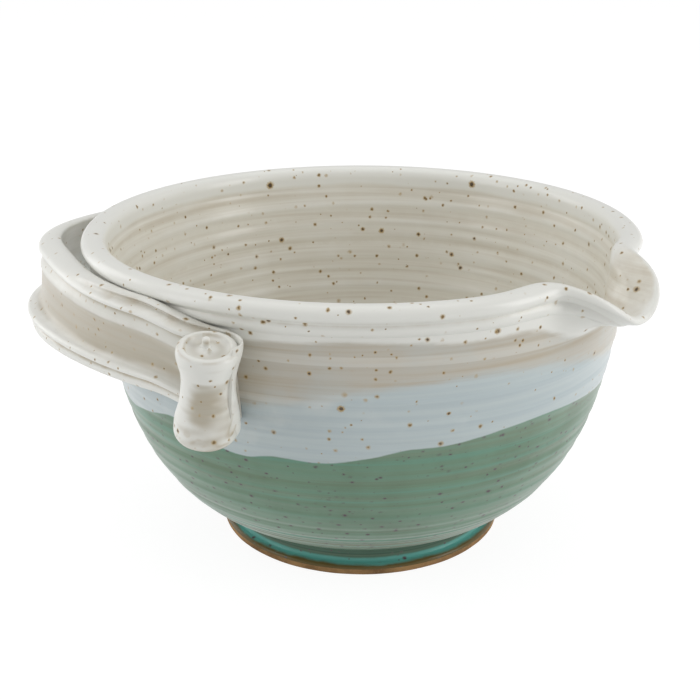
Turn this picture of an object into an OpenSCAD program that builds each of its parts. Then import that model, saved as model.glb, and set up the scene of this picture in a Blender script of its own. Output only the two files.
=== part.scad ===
// Batter bowl in thrown stoneware: a round-bellied wall on a turned foot ring, a rolled lip with a
// pulled spout, and a strap handle whose two ends are rolled up into upright scrolls.
// Frame: +Z up, origin on the bowl's axis in the plane of the foot, handle towards -X.

/* [Bowl] */
// Radius of the lip, measured to the middle of its rounded top
lip_r = 110.4; // [100:1:125]
// Height of the lip's top above the table
bowl_h = 133.2; // [125:0.1:160]
// Thickness of the wall below the lip, glaze included
wall_t = 6; // [4.5:0.5:8]
// Thickness of the floor
floor_t = 7.5; // [5:0.5:12]
// Part of the wall's widening that is spread evenly over its height
wall_flare = 16; // [12:1:20]
// How far the floor's edge lies inside the root of the wall
floor_inset = 14; // [10:1:20]

/* [Lip] */
// Height of the rolled lip and of the soft ridge under it
lip_h = 11.7; // [10:0.1:14]
// Half the thickness of the rolled lip
lip_reach = 5; // [4:0.5:6]
// How far the top of the wall stands outside the middle of the lip
lip_step = 0.9; // [0:0.1:1.5]

/* [Spout] */
// Direction of the spout round the bowl, counted from +X
spout_turn = -37; // [-60:1:0]
// How far the spout's tip is pulled out past the lip
spout_reach = 14; // [12:0.5:20]
// How far the spout's tip dips below the lip
spout_dip = 15; // [9:0.5:15.5]
// Depth below the lip's top at which the wall begins to swell into the spout
spout_depth = 25; // [24.5:0.5:30]
// How far the lip is pinched inwards at each side of the spout
pinch_in = 2; // [0:0.1:3]
// How far the lip rises at each pinch
pinch_lift = 0.6; // [0:0.1:1.5]

/* [Foot] */
// Radius of the foot ring at the table
foot_r = 60.8; // [55:0.2:70]
// Height of the foot ring
foot_h = 8.5; // [6:0.5:11]
// Width of the foot ring's flat face
foot_w = 9.5; // [7:0.5:12]
// Height of the bare clay band at the bottom of the foot
bare_h = 2.8; // [2:0.2:4]
// Depth of the groove between the foot and the bowl
neck_cut = 2.6; // [2:0.2:5]

/* [Handle] */
// Direction of the middle of the handle round the bowl, counted from +X
handle_turn = 173.5; // [165:0.5:185]
// Angle from the middle of the handle to each scroll
handle_half_turn = 73; // [65:0.5:80]
// Height of the strap
strap_h = 37; // [30:0.5:40]
// Thickness of the strap at its upper bead
strap_t = 9; // [7.5:0.1:11]
// Thickness of the strap where it is pressed between a scroll and the wall
strap_end_t = 3.2; // [2.5:0.1:4]
// Depth of the strap's upper edge below the lip's top
strap_drop = 6.7; // [6:0.1:12]
// How far the ends of the strap hang below its middle
strap_end_drop = 7.1; // [4:0.1:9]
// How far the strap leans down from the front end to the rear end, to each side of its middle
strap_lean = 2.6; // [0:0.1:4]
// How far the strap's upper edge bows out from the lip
upper_bow = 12; // [9:0.1:18]
// How far the strap's lower edge bows out from the wall
lower_bow = 32.8; // [24:0.1:36]

/* [Scrolls] */
// Radius of a scroll at its ends
scroll_r = 10.7; // [9:0.1:13]
// Height of a scroll along its own axis
scroll_h = 37; // [30:0.5:42]
// Angle round the bowl by which a scroll's base is tucked under the handle
scroll_tuck = 3; // [0:0.1:4]
// Depth of the dish in the top of a scroll
dish_depth = 1.6; // [1:0.1:2.5]
// Radius of the button pressed into the dish
button_r = 1.7; // [1.2:0.1:3]
// Height of the button
button_h = 2.6; // [1.8:0.1:3.5]

/* [Glaze] */
// Thickness of each glaze coat
glaze_t = 0.6; // [0.4:0.1:0.8]
// Height of the cream band below the lip
cream_h = 25; // [23:1:30]
// Height of the pale blue band below the cream
blue_h = 23; // [15:1:30]

/* [Hidden] */

// Finish colours
clay_tone = "#b07d55";
liner_tone = "#e4e4dd";
cream_tone = "#c9c3b2";
blue_tone = "#b9c6cd";
green_tone = "#6f8c79";

// Small clearances: between pieces that are bonded, and between a facet and a round face
bond_gap = 0.3;
seam_gap = 0.1;

// Full turn, and the number of straight sides that stand for a circle
full_turn = 360;
round_sides = 96;

// Bowl: heights of its main levels
floor_z = foot_h + floor_t;
wall_top_z = bowl_h - lip_h;
blue_top_z = wall_top_z - cream_h;
green_top_z = blue_top_z - blue_h;
throat_z = bowl_h - spout_depth;

// Bowl: the neck, the root of the wall, where its curve begins, and where the curve is met
neck_r = foot_r - neck_cut;
root_sink = 4.1;
root_r = neck_r - root_sink;
root_rise = 1.5;
root_z = foot_h + root_rise;
meet_rise = 1;
wall_top_r = lip_r + lip_step;
floor_edge_r = root_r - floor_inset;
// Shape of the belly: how soon the curve turns upwards, and how round it is
belly_turn_share = 4.1;
belly_round_share = 0.7;

// Bowl: numbers of rows up each band and up the inside
green_rows = 7;
blue_rows = 2;
cream_rows = 3;
inner_rows = 9;
// Rows lie closer together low down, where the wall curves most
row_crowd_share = 1.6;

// Rolled lip from the ridge outside to the inner wall: out from its middle, up its height
lip_shares = [[0.58, 0.27], [0.52, 0.45], [0.9, 0.54], [1, 0.68], [0.84, 0.86], [0.44, 0.97],
    [0, 1], [-0.48, 0.97], [-0.84, 0.85], [-1, 0.66], [-1.02, 0.4]];

// The same points at the spout, where the lip is drawn out to a thinner rim
rim_shares = [[0.58, 0.27], [0.56, 0.42], [0.78, 0.54], [0.98, 0.7], [1.02, 0.86], [0.92, 0.97],
    [0.68, 1], [0.34, 0.95], [-0.04, 0.84], [-0.45, 0.72], [-0.92, 0.56]];

// Spout: spread of its pull, its thinner rim and its dip and how square each is, how much of the thin
// rim is held back at the tip, its pinches, and the sector with closer corners
pull_spread = 11;
pull_square = 4.6;
rim_spread = 15;
rim_square = 6;
tip_share = 0.5;
dip_spread = 8.2;
dip_square = 2.6;
pinch_turn = 18;
pinch_spread = 7;
spout_sector = 56;
spout_steps = 22;
bowl_steps = 36;
slope_turn = 0.5;

// Directions round the bowl in which its rings have corners
turns = concat(
    [for (k = [0 : spout_steps - 1]) spout_turn - spout_sector / 2 + k * spout_sector / spout_steps],
    [for (k = [0 : bowl_steps - 1])
        spout_turn + spout_sector / 2 + k * (full_turn - spout_sector) / bowl_steps]);

// Foot: its swell above the table, its rounded bottom edge, its shoulder and its inner slope
foot_swell = 0.8;
edge_shares = [[0.6, 0.15], [0.9, 0.4]];
shoulder_shares = [[0.03, 0.1], [0.5, 0.3], [0.9, 0.42]];
foot_slope = 1;

// Handle: spreads of its two bows, how far the lower one lies towards the rear end, and where the
// ends sink and grow thin
upper_spread = 16.5;
lower_spread = 40;
lower_shift_turn = 7.5;
end_sink_turn = 18;
end_thin_turn = 9;
thin_stop_turn = 1.5;
curl_turn = 95;
curl_steps = 6;
curl_thin_share = 0.25;
curl_low_share = 0.3;
curl_square = 0.5;
strap_steps = 22;
tangent_turn = 0.5;

// Strap across: out from the inner face, in parts of its thickness, and up its height
strap_shares = [[0, 0.5], [0, 0.2], [0.05, 0.04], [0.2, 0], [0.44, 0.005], [0.6, 0.03], [0.66, 0.07],
    [0.67, 0.11], [0.63, 0.14], [0.82, 0.16], [0.95, 0.19], [0.9, 0.23], [0.6, 0.265], [0.46, 0.34],
    [0.54, 0.48], [0.64, 0.63], [0.74, 0.7], [0.72, 0.75], [0.64, 0.845], [0.88, 0.86], [1, 0.9],
    [0.88, 0.96], [0.5, 0.995], [0.16, 1], [0, 0.96]];

// Scroll: outline from its base to the lip of its dish, as parts of its radius and height
scroll_shares = [[0.84, 0], [0.99, 0.03], [1.05, 0.09], [1.02, 0.18], [0.91, 0.34], [0.83, 0.48],
    [0.81, 0.6], [0.86, 0.72], [0.94, 0.83], [0.98, 0.9], [0.98, 0.95], [0.93, 0.985], [0.87, 1],
    [0.8, 0.99]];
dish_share = 0.85;
button_steps = 6;

// Slip joint: how far it runs from the scroll towards the middle, its part of the strap's height,
// its rows and its least thickness
slip_turn = 9;
slip_low_share = 0.04;
slip_high_share = 0.8;
slip_rows = 4;
slip_steps = 6;
slip_t = 0.9;

function lobe(x) = exp(-x * x);
function ease(x) = let (t = min(max(x, 0), 1)) t * t * (3 - 2 * t);
function blend(a, b, t) = a + (b - a) * t;
function belly(t) = pow(1 - pow(1 - t, belly_turn_share), belly_round_share);

// Radius of the glazed outer wall and of the clay inner wall at height z
function wall_r(z) =
    let (t = (z - root_z) / (wall_top_z - root_z))
    root_r + (wall_top_r - root_r - wall_flare) * belly(t) + wall_flare * t;
function inner_r(z) =
    let (t = (z - floor_z) / (wall_top_z - floor_z))
    floor_edge_r + (wall_top_r - wall_t - floor_edge_r - wall_flare) * belly(t) + wall_flare * t;

function levels(low, high, rows, crowd) = [for (k = [0 : rows]) blend(low, high, pow(k / rows, crowd))];
green_levels = levels(foot_h + root_rise + meet_rise, green_top_z, green_rows, row_crowd_share);
blue_levels = levels(green_top_z, blue_top_z, blue_rows, 1);
cream_levels = levels(blue_top_z, wall_top_z, cream_rows, 1);
inner_levels = levels(floor_z, wall_top_z, inner_rows, row_crowd_share);

// Outlines as [radius, height]; skin is 0 on the glaze's face and the glaze's thickness on the clay
function wall_line(heights, skin) = [for (z = heights) [wall_r(z) - skin, z]];
function inner_line(skin) = [for (z = inner_levels) [inner_r(z) - skin, z == floor_z ? z + skin : z]];
function lip_point(s, skin) = [lip_r + s[0] * (lip_reach - skin), wall_top_z + s[1] * (lip_h - skin)];
function lip_line(skin) = [for (k = [0 : len(lip_shares) - 1])
    let (p = lip_point(lip_shares[k], skin)) concat(p, lip_point(rim_shares[k], skin) - p)];
function foot_line(skin) = concat(
    [[foot_r + foot_swell - skin, bare_h]],
    [for (s = shoulder_shares)
        [foot_r + foot_swell - skin - s[0] * (neck_cut + foot_swell), blend(bare_h, foot_h, s[1])]],
    [[neck_r - skin, foot_h]]);

function reversed(list) = [for (k = [len(list) - 1 : -1 : 0]) list[k]];

// Spout: its pull, its thin rim and its dip, from 0 to 1, and its two pinches, at the angle a from
// its middle
function pull(a) = exp(-pow(abs(a) / pull_spread, pull_square));
function dip(a) = exp(-pow(abs(a) / dip_spread, dip_square));
function rim(a) = exp(-pow(abs(a) / rim_spread, rim_square)) * (1 - tip_share * dip(a));
function nips(a) = lobe((abs(a) - pinch_turn) / pinch_spread);
function pulled_r(a, rise) = lip_r + rise * (spout_reach * pull(a) - pinch_in * nips(a));

// A point of an outline carried round to one direction; at the spout the lip's middle is pulled out
// and down, and the other points keep their distance from it, square to its course in plan. A point
// of the lip also holds how far it moves out and up where the rim is thin.
function place(p, turn) =
    let (
        a = turn - spout_turn,
        thin = len(p) > 2 ? rim(a) * [p[2], p[3]] : [0, 0],
        high = p[1] + thin[1],
        rise = ease((high - throat_z) / (bowl_h - throat_z)),
        r = pulled_r(a, rise),
        slope = (pulled_r(a + slope_turn, rise) - pulled_r(a - slope_turn, rise))
            / (slope_turn * 4 * PI / full_turn),
        out = [r, -slope] * (p[0] + thin[0] - lip_r) / norm([r, slope]),
        z = high + rise * (pinch_lift * nips(a) - spout_dip * dip(a)))
    [(r + out[0]) * cos(turn) - out[1] * sin(turn), (r + out[0]) * sin(turn) + out[1] * cos(turn), z];
function rings(line) = [for (p = line) for (turn = turns) place(p, turn)];

// Faces between neighbouring rings of n corners each
function band_faces(count, n) = [for (row = [0 : count - 2]) for (k = [0 : n - 1])
    for (tri = let (a = row * n + k, b = row * n + (k + 1) % n) [[a, a + n, b], [b, a + n, b + n]]) tri];
function fan_faces(pole, start, n, up) = [for (k = [0 : n - 1])
    let (a = start + k, b = start + (k + 1) % n) up ? [pole, b, a] : [pole, a, b]];

// A solid of rings closed by a point on the axis at each end
module lathe(line, low_z, high_z) {
    n = len(turns);
    count = len(line);
    points = concat(rings(line), [[0, 0, low_z], [0, 0, high_z]]);
    polyhedron(points = points, faces = concat(
        band_faces(count, n),
        fan_faces(count * n, 0, n, false),
        fan_faces(count * n + 1, (count - 1) * n, n, true)));
}

// A solid of rings whose last ring joins its first
module sleeve(line) {
    n = len(turns);
    polyhedron(points = rings(concat(line, [line[0]])), faces = band_faces(len(line) + 1, n));
}

// A solid swept through equal closed sections, with flat ends
module swept(sections) {
    n = len(sections[0]);
    count = len(sections);
    points = [for (section = sections) for (p = section) p];
    low_end = [for (k = [1 : n - 2]) [0, k, k + 1]];
    high_end = [for (k = [1 : n - 2]) let (s = (count - 1) * n) [s, s + k + 1, s + k]];
    polyhedron(points = points, faces = concat(band_faces(count, n), low_end, high_end));
}

module turned(line) {
    rotate_extrude($fn = round_sides) polygon(line);
}

module bowl_body() {
    outside = concat([[neck_r - glaze_t, foot_h]], wall_line(green_levels, glaze_t),
        wall_line([for (k = [1 : blue_rows]) blue_levels[k]], glaze_t),
        wall_line([for (k = [1 : cream_rows]) cream_levels[k]], glaze_t));
    color(clay_tone) lathe(concat(outside, lip_line(glaze_t), reversed(inner_line(0))), foot_h, floor_z);
}

module foot_ring() {
    inside = [[foot_r - foot_w - foot_slope, foot_h], [foot_r - foot_w, 0]];
    edge = [for (s = edge_shares) [foot_r + s[0] * foot_swell, s[1] * bare_h]];
    color(clay_tone) turned(concat(inside, [[foot_r, 0]], edge, [[foot_r + foot_swell, bare_h]],
        foot_line(glaze_t)));
}

module green_glaze() {
    color(green_tone) turned(concat(foot_line(0), wall_line(green_levels, 0),
        reversed(wall_line(green_levels, glaze_t)), reversed(foot_line(glaze_t))));
}

module blue_glaze() {
    color(blue_tone) turned(concat(wall_line(blue_levels, 0), reversed(wall_line(blue_levels, glaze_t))));
}

module cream_glaze() {
    color(cream_tone)
        sleeve(concat(wall_line(cream_levels, 0), reversed(wall_line(cream_levels, glaze_t))));
}

module liner_glaze() {
    edge = wall_line([wall_top_z], 0);
    clay_edge = wall_line([wall_top_z], glaze_t);
    color(liner_tone) lathe(concat(inner_line(0), reversed(lip_line(glaze_t)), clay_edge, edge,
        lip_line(0), reversed(inner_line(glaze_t))), floor_z, floor_z + glaze_t);
}

// Handle: how far along an end lies, from 0 at the middle's side to 1 at the scroll
function end_ease(d) = ease((abs(d) - handle_half_turn + end_sink_turn) / end_sink_turn);
function thin_ease(d) = ease((abs(d) - handle_half_turn + end_thin_turn) / (end_thin_turn - thin_stop_turn));
function strap_top_z(d) = bowl_h - strap_drop + strap_lean * sin(d) - strap_end_drop * end_ease(d);
function strap_low_z(d) = strap_top_z(d) - strap_h;

// Radius of the inner face of the strap along its upper and lower edges
upper_seat_r = lip_r + lip_reach + bond_gap;
upper_end_r = lip_r + lip_shares[0][0] * lip_reach + bond_gap;
function upper_r(d) = blend(upper_seat_r, upper_end_r, end_ease(d)) + upper_bow * lobe(d / upper_spread);
function lower_r(d) = wall_r(strap_low_z(d)) + slip_t 
    + lower_bow * lobe((d + lower_shift_turn) / lower_spread);
function strap_r(d, up_share) = blend(lower_r(d), upper_r(d), up_share);
function around(r, d) = r * [cos(handle_turn + d), sin(handle_turn + d)];

// Direction square to the strap in plan, away from the bowl
function strap_out(d) =
    let (t = around(strap_r(d + tangent_turn, 1), d + tangent_turn)
        - around(strap_r(d - tangent_turn, 1), d - tangent_turn))
    [t[1], -t[0]] / norm(t);
function strap_thick(d) = blend(strap_t, strap_end_t, thin_ease(d));
function strap_section(d) = [for (s = strap_shares)
    let (p = around(strap_r(d, s[1]), d) + s[0] * strap_thick(d) * strap_out(d))
    [p[0], p[1], blend(strap_low_z(d), strap_top_z(d), s[1])]];

// Scroll axis: its place in plan level with a share of the strap's height
function scroll_axis(side, up_share) =
    around(strap_r(side * handle_half_turn, up_share) + strap_end_t + bond_gap + scroll_r,
        side * (handle_half_turn - scroll_tuck * (1 - up_share)));
scroll_waist = [for (s = scroll_shares) [s[1], s[0]]];
function curl_section(side, part) =
    let (
        d = side * handle_half_turn,
        way = handle_turn + d + full_turn / 2 - side * curl_turn * part)
    [for (s = strap_shares)
        let (
            waist = blend(1, lookup(s[1], scroll_waist), part),
            thin = curl_thin_share * blend(curl_low_share, 1, s[1]),
            t = strap_end_t * blend(1, thin, pow(part, curl_square)),
            p = scroll_axis(side, s[1])
                + (scroll_r * waist + bond_gap + t * (1 - s[0])) * [cos(way), sin(way)])
        [p[0], p[1], blend(strap_low_z(d), strap_top_z(d), s[1])]];

module handle_strap() {
    half = [for (k = [1 - strap_steps : strap_steps - 1])
        handle_half_turn * sin(k * full_turn / 4 / strap_steps)];
    rear_curl = [for (k = [curl_steps : -1 : 0]) curl_section(-1, k / curl_steps)];
    front_curl = [for (k = [0 : curl_steps]) curl_section(1, k / curl_steps)];
    color(cream_tone) swept(concat(rear_curl, [for (d = half) strap_section(d)], front_curl));
}

// Puts a scroll's own parts at its place: upright on its axis, leaning with the wall
module at_scroll(side) {
    low = scroll_axis(side, 0);
    way = scroll_axis(side, 1) - low;
    translate([low[0], low[1], strap_low_z(side * handle_half_turn)])
        rotate([0, atan2(norm(way), strap_h), atan2(way[1], way[0])]) children();
}

module scroll() {
    rim = scroll_shares[len(scroll_shares) - 1];
    turned(concat([[0, 0]], [for (s = scroll_shares) [s[0] * scroll_r, s[1] * scroll_h]],
        [[dish_share * rim[0] * scroll_r, scroll_h - dish_depth], [0, scroll_h - dish_depth]]));
}

module scroll_button() {
    quarter = full_turn / 4;
    translate([0, 0, scroll_h - dish_depth])
        turned(concat([[0, 0]], [for (k = [0 : button_steps])
            [button_r * cos(k * quarter / button_steps), button_h * sin(k * quarter / button_steps)]]));
}

module front_scroll() {
    color(cream_tone) at_scroll(1) scroll();
}

module rear_scroll() {
    color(cream_tone) at_scroll(-1) scroll();
}

module front_scroll_button() {
    color(cream_tone) at_scroll(1) scroll_button();
}

module rear_scroll_button() {
    color(cream_tone) at_scroll(-1) scroll_button();
}

// Slip squeezed between the wall and the inner face of the strap at one end
module slip_joint(side) {
    start = side > 0 ? handle_half_turn - slip_turn : -handle_half_turn;
    column = [for (row = [0 : slip_rows]) blend(slip_low_share, slip_high_share, row / slip_rows)];
    swept([for (k = [0 : slip_steps])
        let (d = start + slip_turn * k / slip_steps)
        concat(
            [for (s = column) let (z = blend(strap_low_z(d), strap_top_z(d), s))
                [each around(wall_r(z) + seam_gap, d), z]],
            [for (s = reversed(column)) let (z = blend(strap_low_z(d), strap_top_z(d), s))
                [each around(strap_r(d, s), d), z]])]);
}

module front_slip_joint() {
    color(cream_tone) slip_joint(1);
}

module rear_slip_joint() {
    color(cream_tone) slip_joint(-1);
}

bowl_body();
foot_ring();
green_glaze();
blue_glaze();
cream_glaze();
liner_glaze();
handle_strap();
front_scroll();
rear_scroll();
front_scroll_button();
rear_scroll_button();
front_slip_joint();
rear_slip_joint();
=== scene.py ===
"""Batter bowl in thrown stoneware: glaze coats over a clay body, a strap handle and two scrolls.

Sizes are in millimetres in the row's frame: +Z up, origin on the bowl's axis in the plane of the
foot, handle towards -X. Meshes are brought to metres when they are finished. Angles are in degrees.
"""
import logging
import math
from dataclasses import dataclass, field
from enum import Enum
from functools import partial
from typing import Callable, Sequence

import bmesh
import bpy
from mathutils import Matrix, Vector, noise


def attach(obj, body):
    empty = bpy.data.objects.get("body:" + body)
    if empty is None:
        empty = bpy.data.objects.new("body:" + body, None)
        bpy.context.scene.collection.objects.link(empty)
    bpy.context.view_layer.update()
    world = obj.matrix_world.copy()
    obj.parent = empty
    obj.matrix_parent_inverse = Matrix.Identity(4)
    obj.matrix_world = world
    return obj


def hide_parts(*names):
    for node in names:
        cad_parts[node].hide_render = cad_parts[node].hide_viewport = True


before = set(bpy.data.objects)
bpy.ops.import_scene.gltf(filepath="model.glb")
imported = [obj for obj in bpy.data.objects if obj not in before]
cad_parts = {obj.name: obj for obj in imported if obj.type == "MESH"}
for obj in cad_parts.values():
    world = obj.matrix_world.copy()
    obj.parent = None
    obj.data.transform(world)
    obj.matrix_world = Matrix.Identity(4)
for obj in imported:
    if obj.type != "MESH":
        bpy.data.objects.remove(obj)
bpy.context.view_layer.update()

LOG = logging.getLogger("batter_bowl")
METRES = 0.001
FULL_TURN = 360.0
MERGE = 1e-4
BODY = "root"
FLOAT = "NodeSocketFloat"
VECTOR = "NodeSocketVector"

Point = tuple[float, ...]


class Coat(Enum):
    """The record's material slots, which are also the finishes of the bowl."""

    CLAY = "clay"
    LINER = "liner"
    CREAM = "cream"
    BLUE = "blue"
    GREEN = "green"


class Side(Enum):
    """The two ends of the handle: the front one shows in the photograph."""

    FRONT = 1
    REAR = -1


# Curves

def lobe(x: float) -> float:
    """Returns a bell from 0 to 1, with its top at x = 0."""
    return math.exp(-x * x)


def ease(x: float) -> float:
    """Returns a smooth step from 0 at x = 0 to 1 at x = 1."""
    t = min(max(x, 0.0), 1.0)
    return t * t * (3 - 2 * t)


def plateau(x: float, square: float) -> float:
    """Returns a bell from 0 to 1 whose top is the flatter the higher its square is."""
    return math.exp(-abs(x) ** square)


def faded(z: float, low: float, rise: float, high: float, fall: float) -> float:
    """Returns a share that eases from 0 at low to 1 over a rise, and back to 0 at high over a fall."""
    return ease((z - low) / rise) * ease((high - z) / fall)


def blend(a: float, b: float, t: float) -> float:
    """Returns the value a share t of the way from a to b."""
    return a + (b - a) * t


@dataclass(frozen=True)
class Bell:
    """A smooth bump: where its top lies, how wide it is and how high."""

    at: float
    width: float
    size: float = 1.0

    def of(self, x: float) -> float:
        """Returns the bump's height at x."""
        return self.size * lobe((x - self.at) / self.width)


def through(a: float, b: float, c: float, d: float, t: float) -> float:
    """Returns the value a share t of the way from b to c, on a smooth curve that also passes a and d."""
    return 0.5 * (2 * b + (c - a) * t + (2 * a - 5 * b + 4 * c - d) * t ** 2
                  + (3 * b - a - 3 * c + d) * t ** 3)


def spline(points: Sequence[Point], steps: int, closed: bool = False) -> list[Point]:
    """Draws a smooth curve through points of any width.

    Args:
        points: The points, all of one width.
        steps: Steps between two points.
        closed: Whether the curve returns to its first point.

    Returns:
        The curve's points, without a second copy of the first one.
    """
    n = len(points)
    spans = n if closed else n - 1
    out: list[Point] = []
    for i in range(spans):
        quad = [points[(i + k) % n] if closed else points[min(max(i + k, 0), n - 1)] for k in (-1, 0, 1, 2)]
        for s in range(steps):
            out.append(tuple(through(*values, s / steps) for values in zip(*quad)))
    if not closed:
        out.append(tuple(points[-1]))
    return out


def respaced(line: Sequence[Point], step: float) -> list[Point]:
    """Spaces the points of an open line evenly.

    Args:
        line: Points whose first two values are radius and height.
        step: The longest distance between two points of the result.

    Returns:
        The new points, with both ends kept.
    """
    reach = [0.0]
    for a, b in zip(line, line[1:]):
        reach.append(reach[-1] + math.dist(a[:2], b[:2]))
    count = max(1, math.ceil(reach[-1] / step))
    out: list[Point] = []
    i = 0
    for k in range(count + 1):
        at = reach[-1] * k / count
        while i < len(line) - 2 and reach[i + 1] < at:
            i += 1
        span = reach[i + 1] - reach[i]
        t = (at - reach[i]) / span if span else 0.0
        out.append(tuple(blend(a, b, min(t, 1.0)) for a, b in zip(line[i], line[i + 1])))
    return out


def round_curve(table: Sequence[tuple[float, float]], turn: float) -> float:
    """Reads a height that runs smoothly round the bowl.

    Args:
        table: Pairs of direction and height, in rising order of direction within one turn.
        turn: The direction to read at.

    Returns:
        The height there.
    """
    start = table[0][0]
    a = (turn - start) % FULL_TURN + start
    n = len(table)
    for i in range(n):
        low = table[i][0]
        high = table[i + 1][0] if i + 1 < n else start + FULL_TURN
        if low <= a <= high:
            heights = [table[(i + k) % n][1] for k in (-1, 0, 1, 2)]
            return through(*heights, (a - low) / (high - low))
    return table[0][1]


# Meshes

def polar(point: Vector) -> tuple[float, float, float]:
    """Returns a point's radius, its height and its direction."""
    return math.hypot(point.x, point.y), point.z, math.degrees(math.atan2(point.y, point.x))


def lathe(line: Sequence[Point], steps: int, closed: bool = True,
          layers: Sequence[str] = ()) -> bmesh.types.BMesh:
    """Spins an outline of radius and height round the Z axis.

    Args:
        line: The outline; closed outlines don't repeat their first point.
        steps: Steps of the full turn.
        closed: Whether the last point joins the first.
        layers: Names of the values that points have after radius and height, where they have them.

    Returns:
        A new mesh, with doubles on the axis merged.
    """
    bm = bmesh.new()
    keep = [bm.verts.layers.float.new(name) for name in layers]
    verts = [bm.verts.new((p[0], 0, p[1])) for p in line]
    for vert, point in zip(verts, line):
        for layer, value in zip(keep, point[2:]):
            vert[layer] = value
    ends = verts[1:] + (verts[:1] if closed else [])
    edges = [bm.edges.new(pair) for pair in zip(verts, ends)]
    bmesh.ops.spin(bm, geom=verts + edges, cent=(0, 0, 0), axis=(0, 0, 1), angle=math.tau, steps=steps,
                   use_merge=True)
    bmesh.ops.remove_doubles(bm, verts=bm.verts, dist=MERGE)
    return bm


def tube(rows: int, sides: int, shape: Callable[[int, float], Point],
         layers: Sequence[str] = ()) -> bmesh.types.BMesh:
    """Makes a capped tube and carries each of its rings to its place.

    Args:
        rows: Number of rings.
        sides: Corners of a ring.
        shape: Gives x, y, z and the layers' values for a ring and a share of the way round it.
        layers: Names of the values that each corner keeps.

    Returns:
        A new mesh.
    """
    bm = bmesh.new()
    verts = [bm.verts.new((1, 0, row)) for row in range(rows)]
    edges = [bm.edges.new(pair) for pair in zip(verts, verts[1:])]
    bmesh.ops.spin(bm, geom=verts + edges, cent=(0, 0, 0), axis=(0, 0, 1), angle=math.tau, steps=sides,
                   use_merge=True)
    keep = [bm.verts.layers.float.new(name) for name in layers]
    for vert in bm.verts:
        around = math.atan2(vert.co.y, vert.co.x) / math.tau % 1.0
        put = shape(round(vert.co.z), round(around * sides) % sides / sides)
        vert.co = put[:3]
        for layer, value in zip(keep, put[3:]):
            vert[layer] = value
    rims = [e for e in bm.edges if e.is_boundary]
    bmesh.ops.holes_fill(bm, edges=rims, sides=0)
    bmesh.ops.triangulate(bm, faces=[f for f in bm.faces if len(f.verts) > 4])
    return bm


def finish_piece(name: str, bm: bmesh.types.BMesh, material: bpy.types.Material,
                 nodes: Sequence[str], crease: float = 50.0) -> bpy.types.Object:
    """Turns a mesh in millimetres into a piece of the scene.

    Args:
        name: The piece's name.
        bm: The mesh, which is used up.
        material: Its material.
        nodes: The CAD nodes that it stands for.
        crease: Edges that turn by more than this stay sharp.

    Returns:
        The new object.
    """
    bmesh.ops.recalc_face_normals(bm, faces=bm.faces)
    limit = math.radians(crease)
    for face in bm.faces:
        face.smooth = True
    for edge in bm.edges:
        edge.smooth = not (edge.is_manifold and edge.calc_face_angle(0.0) > limit)
    bmesh.ops.scale(bm, vec=(METRES,) * 3, verts=bm.verts)
    mesh = bpy.data.meshes.new(name)
    bm.to_mesh(mesh)
    bm.free()
    mesh.materials.append(material)
    piece = bpy.data.objects.new(name, mesh)
    bpy.context.scene.collection.objects.link(piece)
    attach(piece, BODY)
    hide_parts(*nodes)
    LOG.info("%s: %d faces, for %s", name, len(mesh.polygons), ", ".join(nodes))
    return piece


# Shader groups

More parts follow.
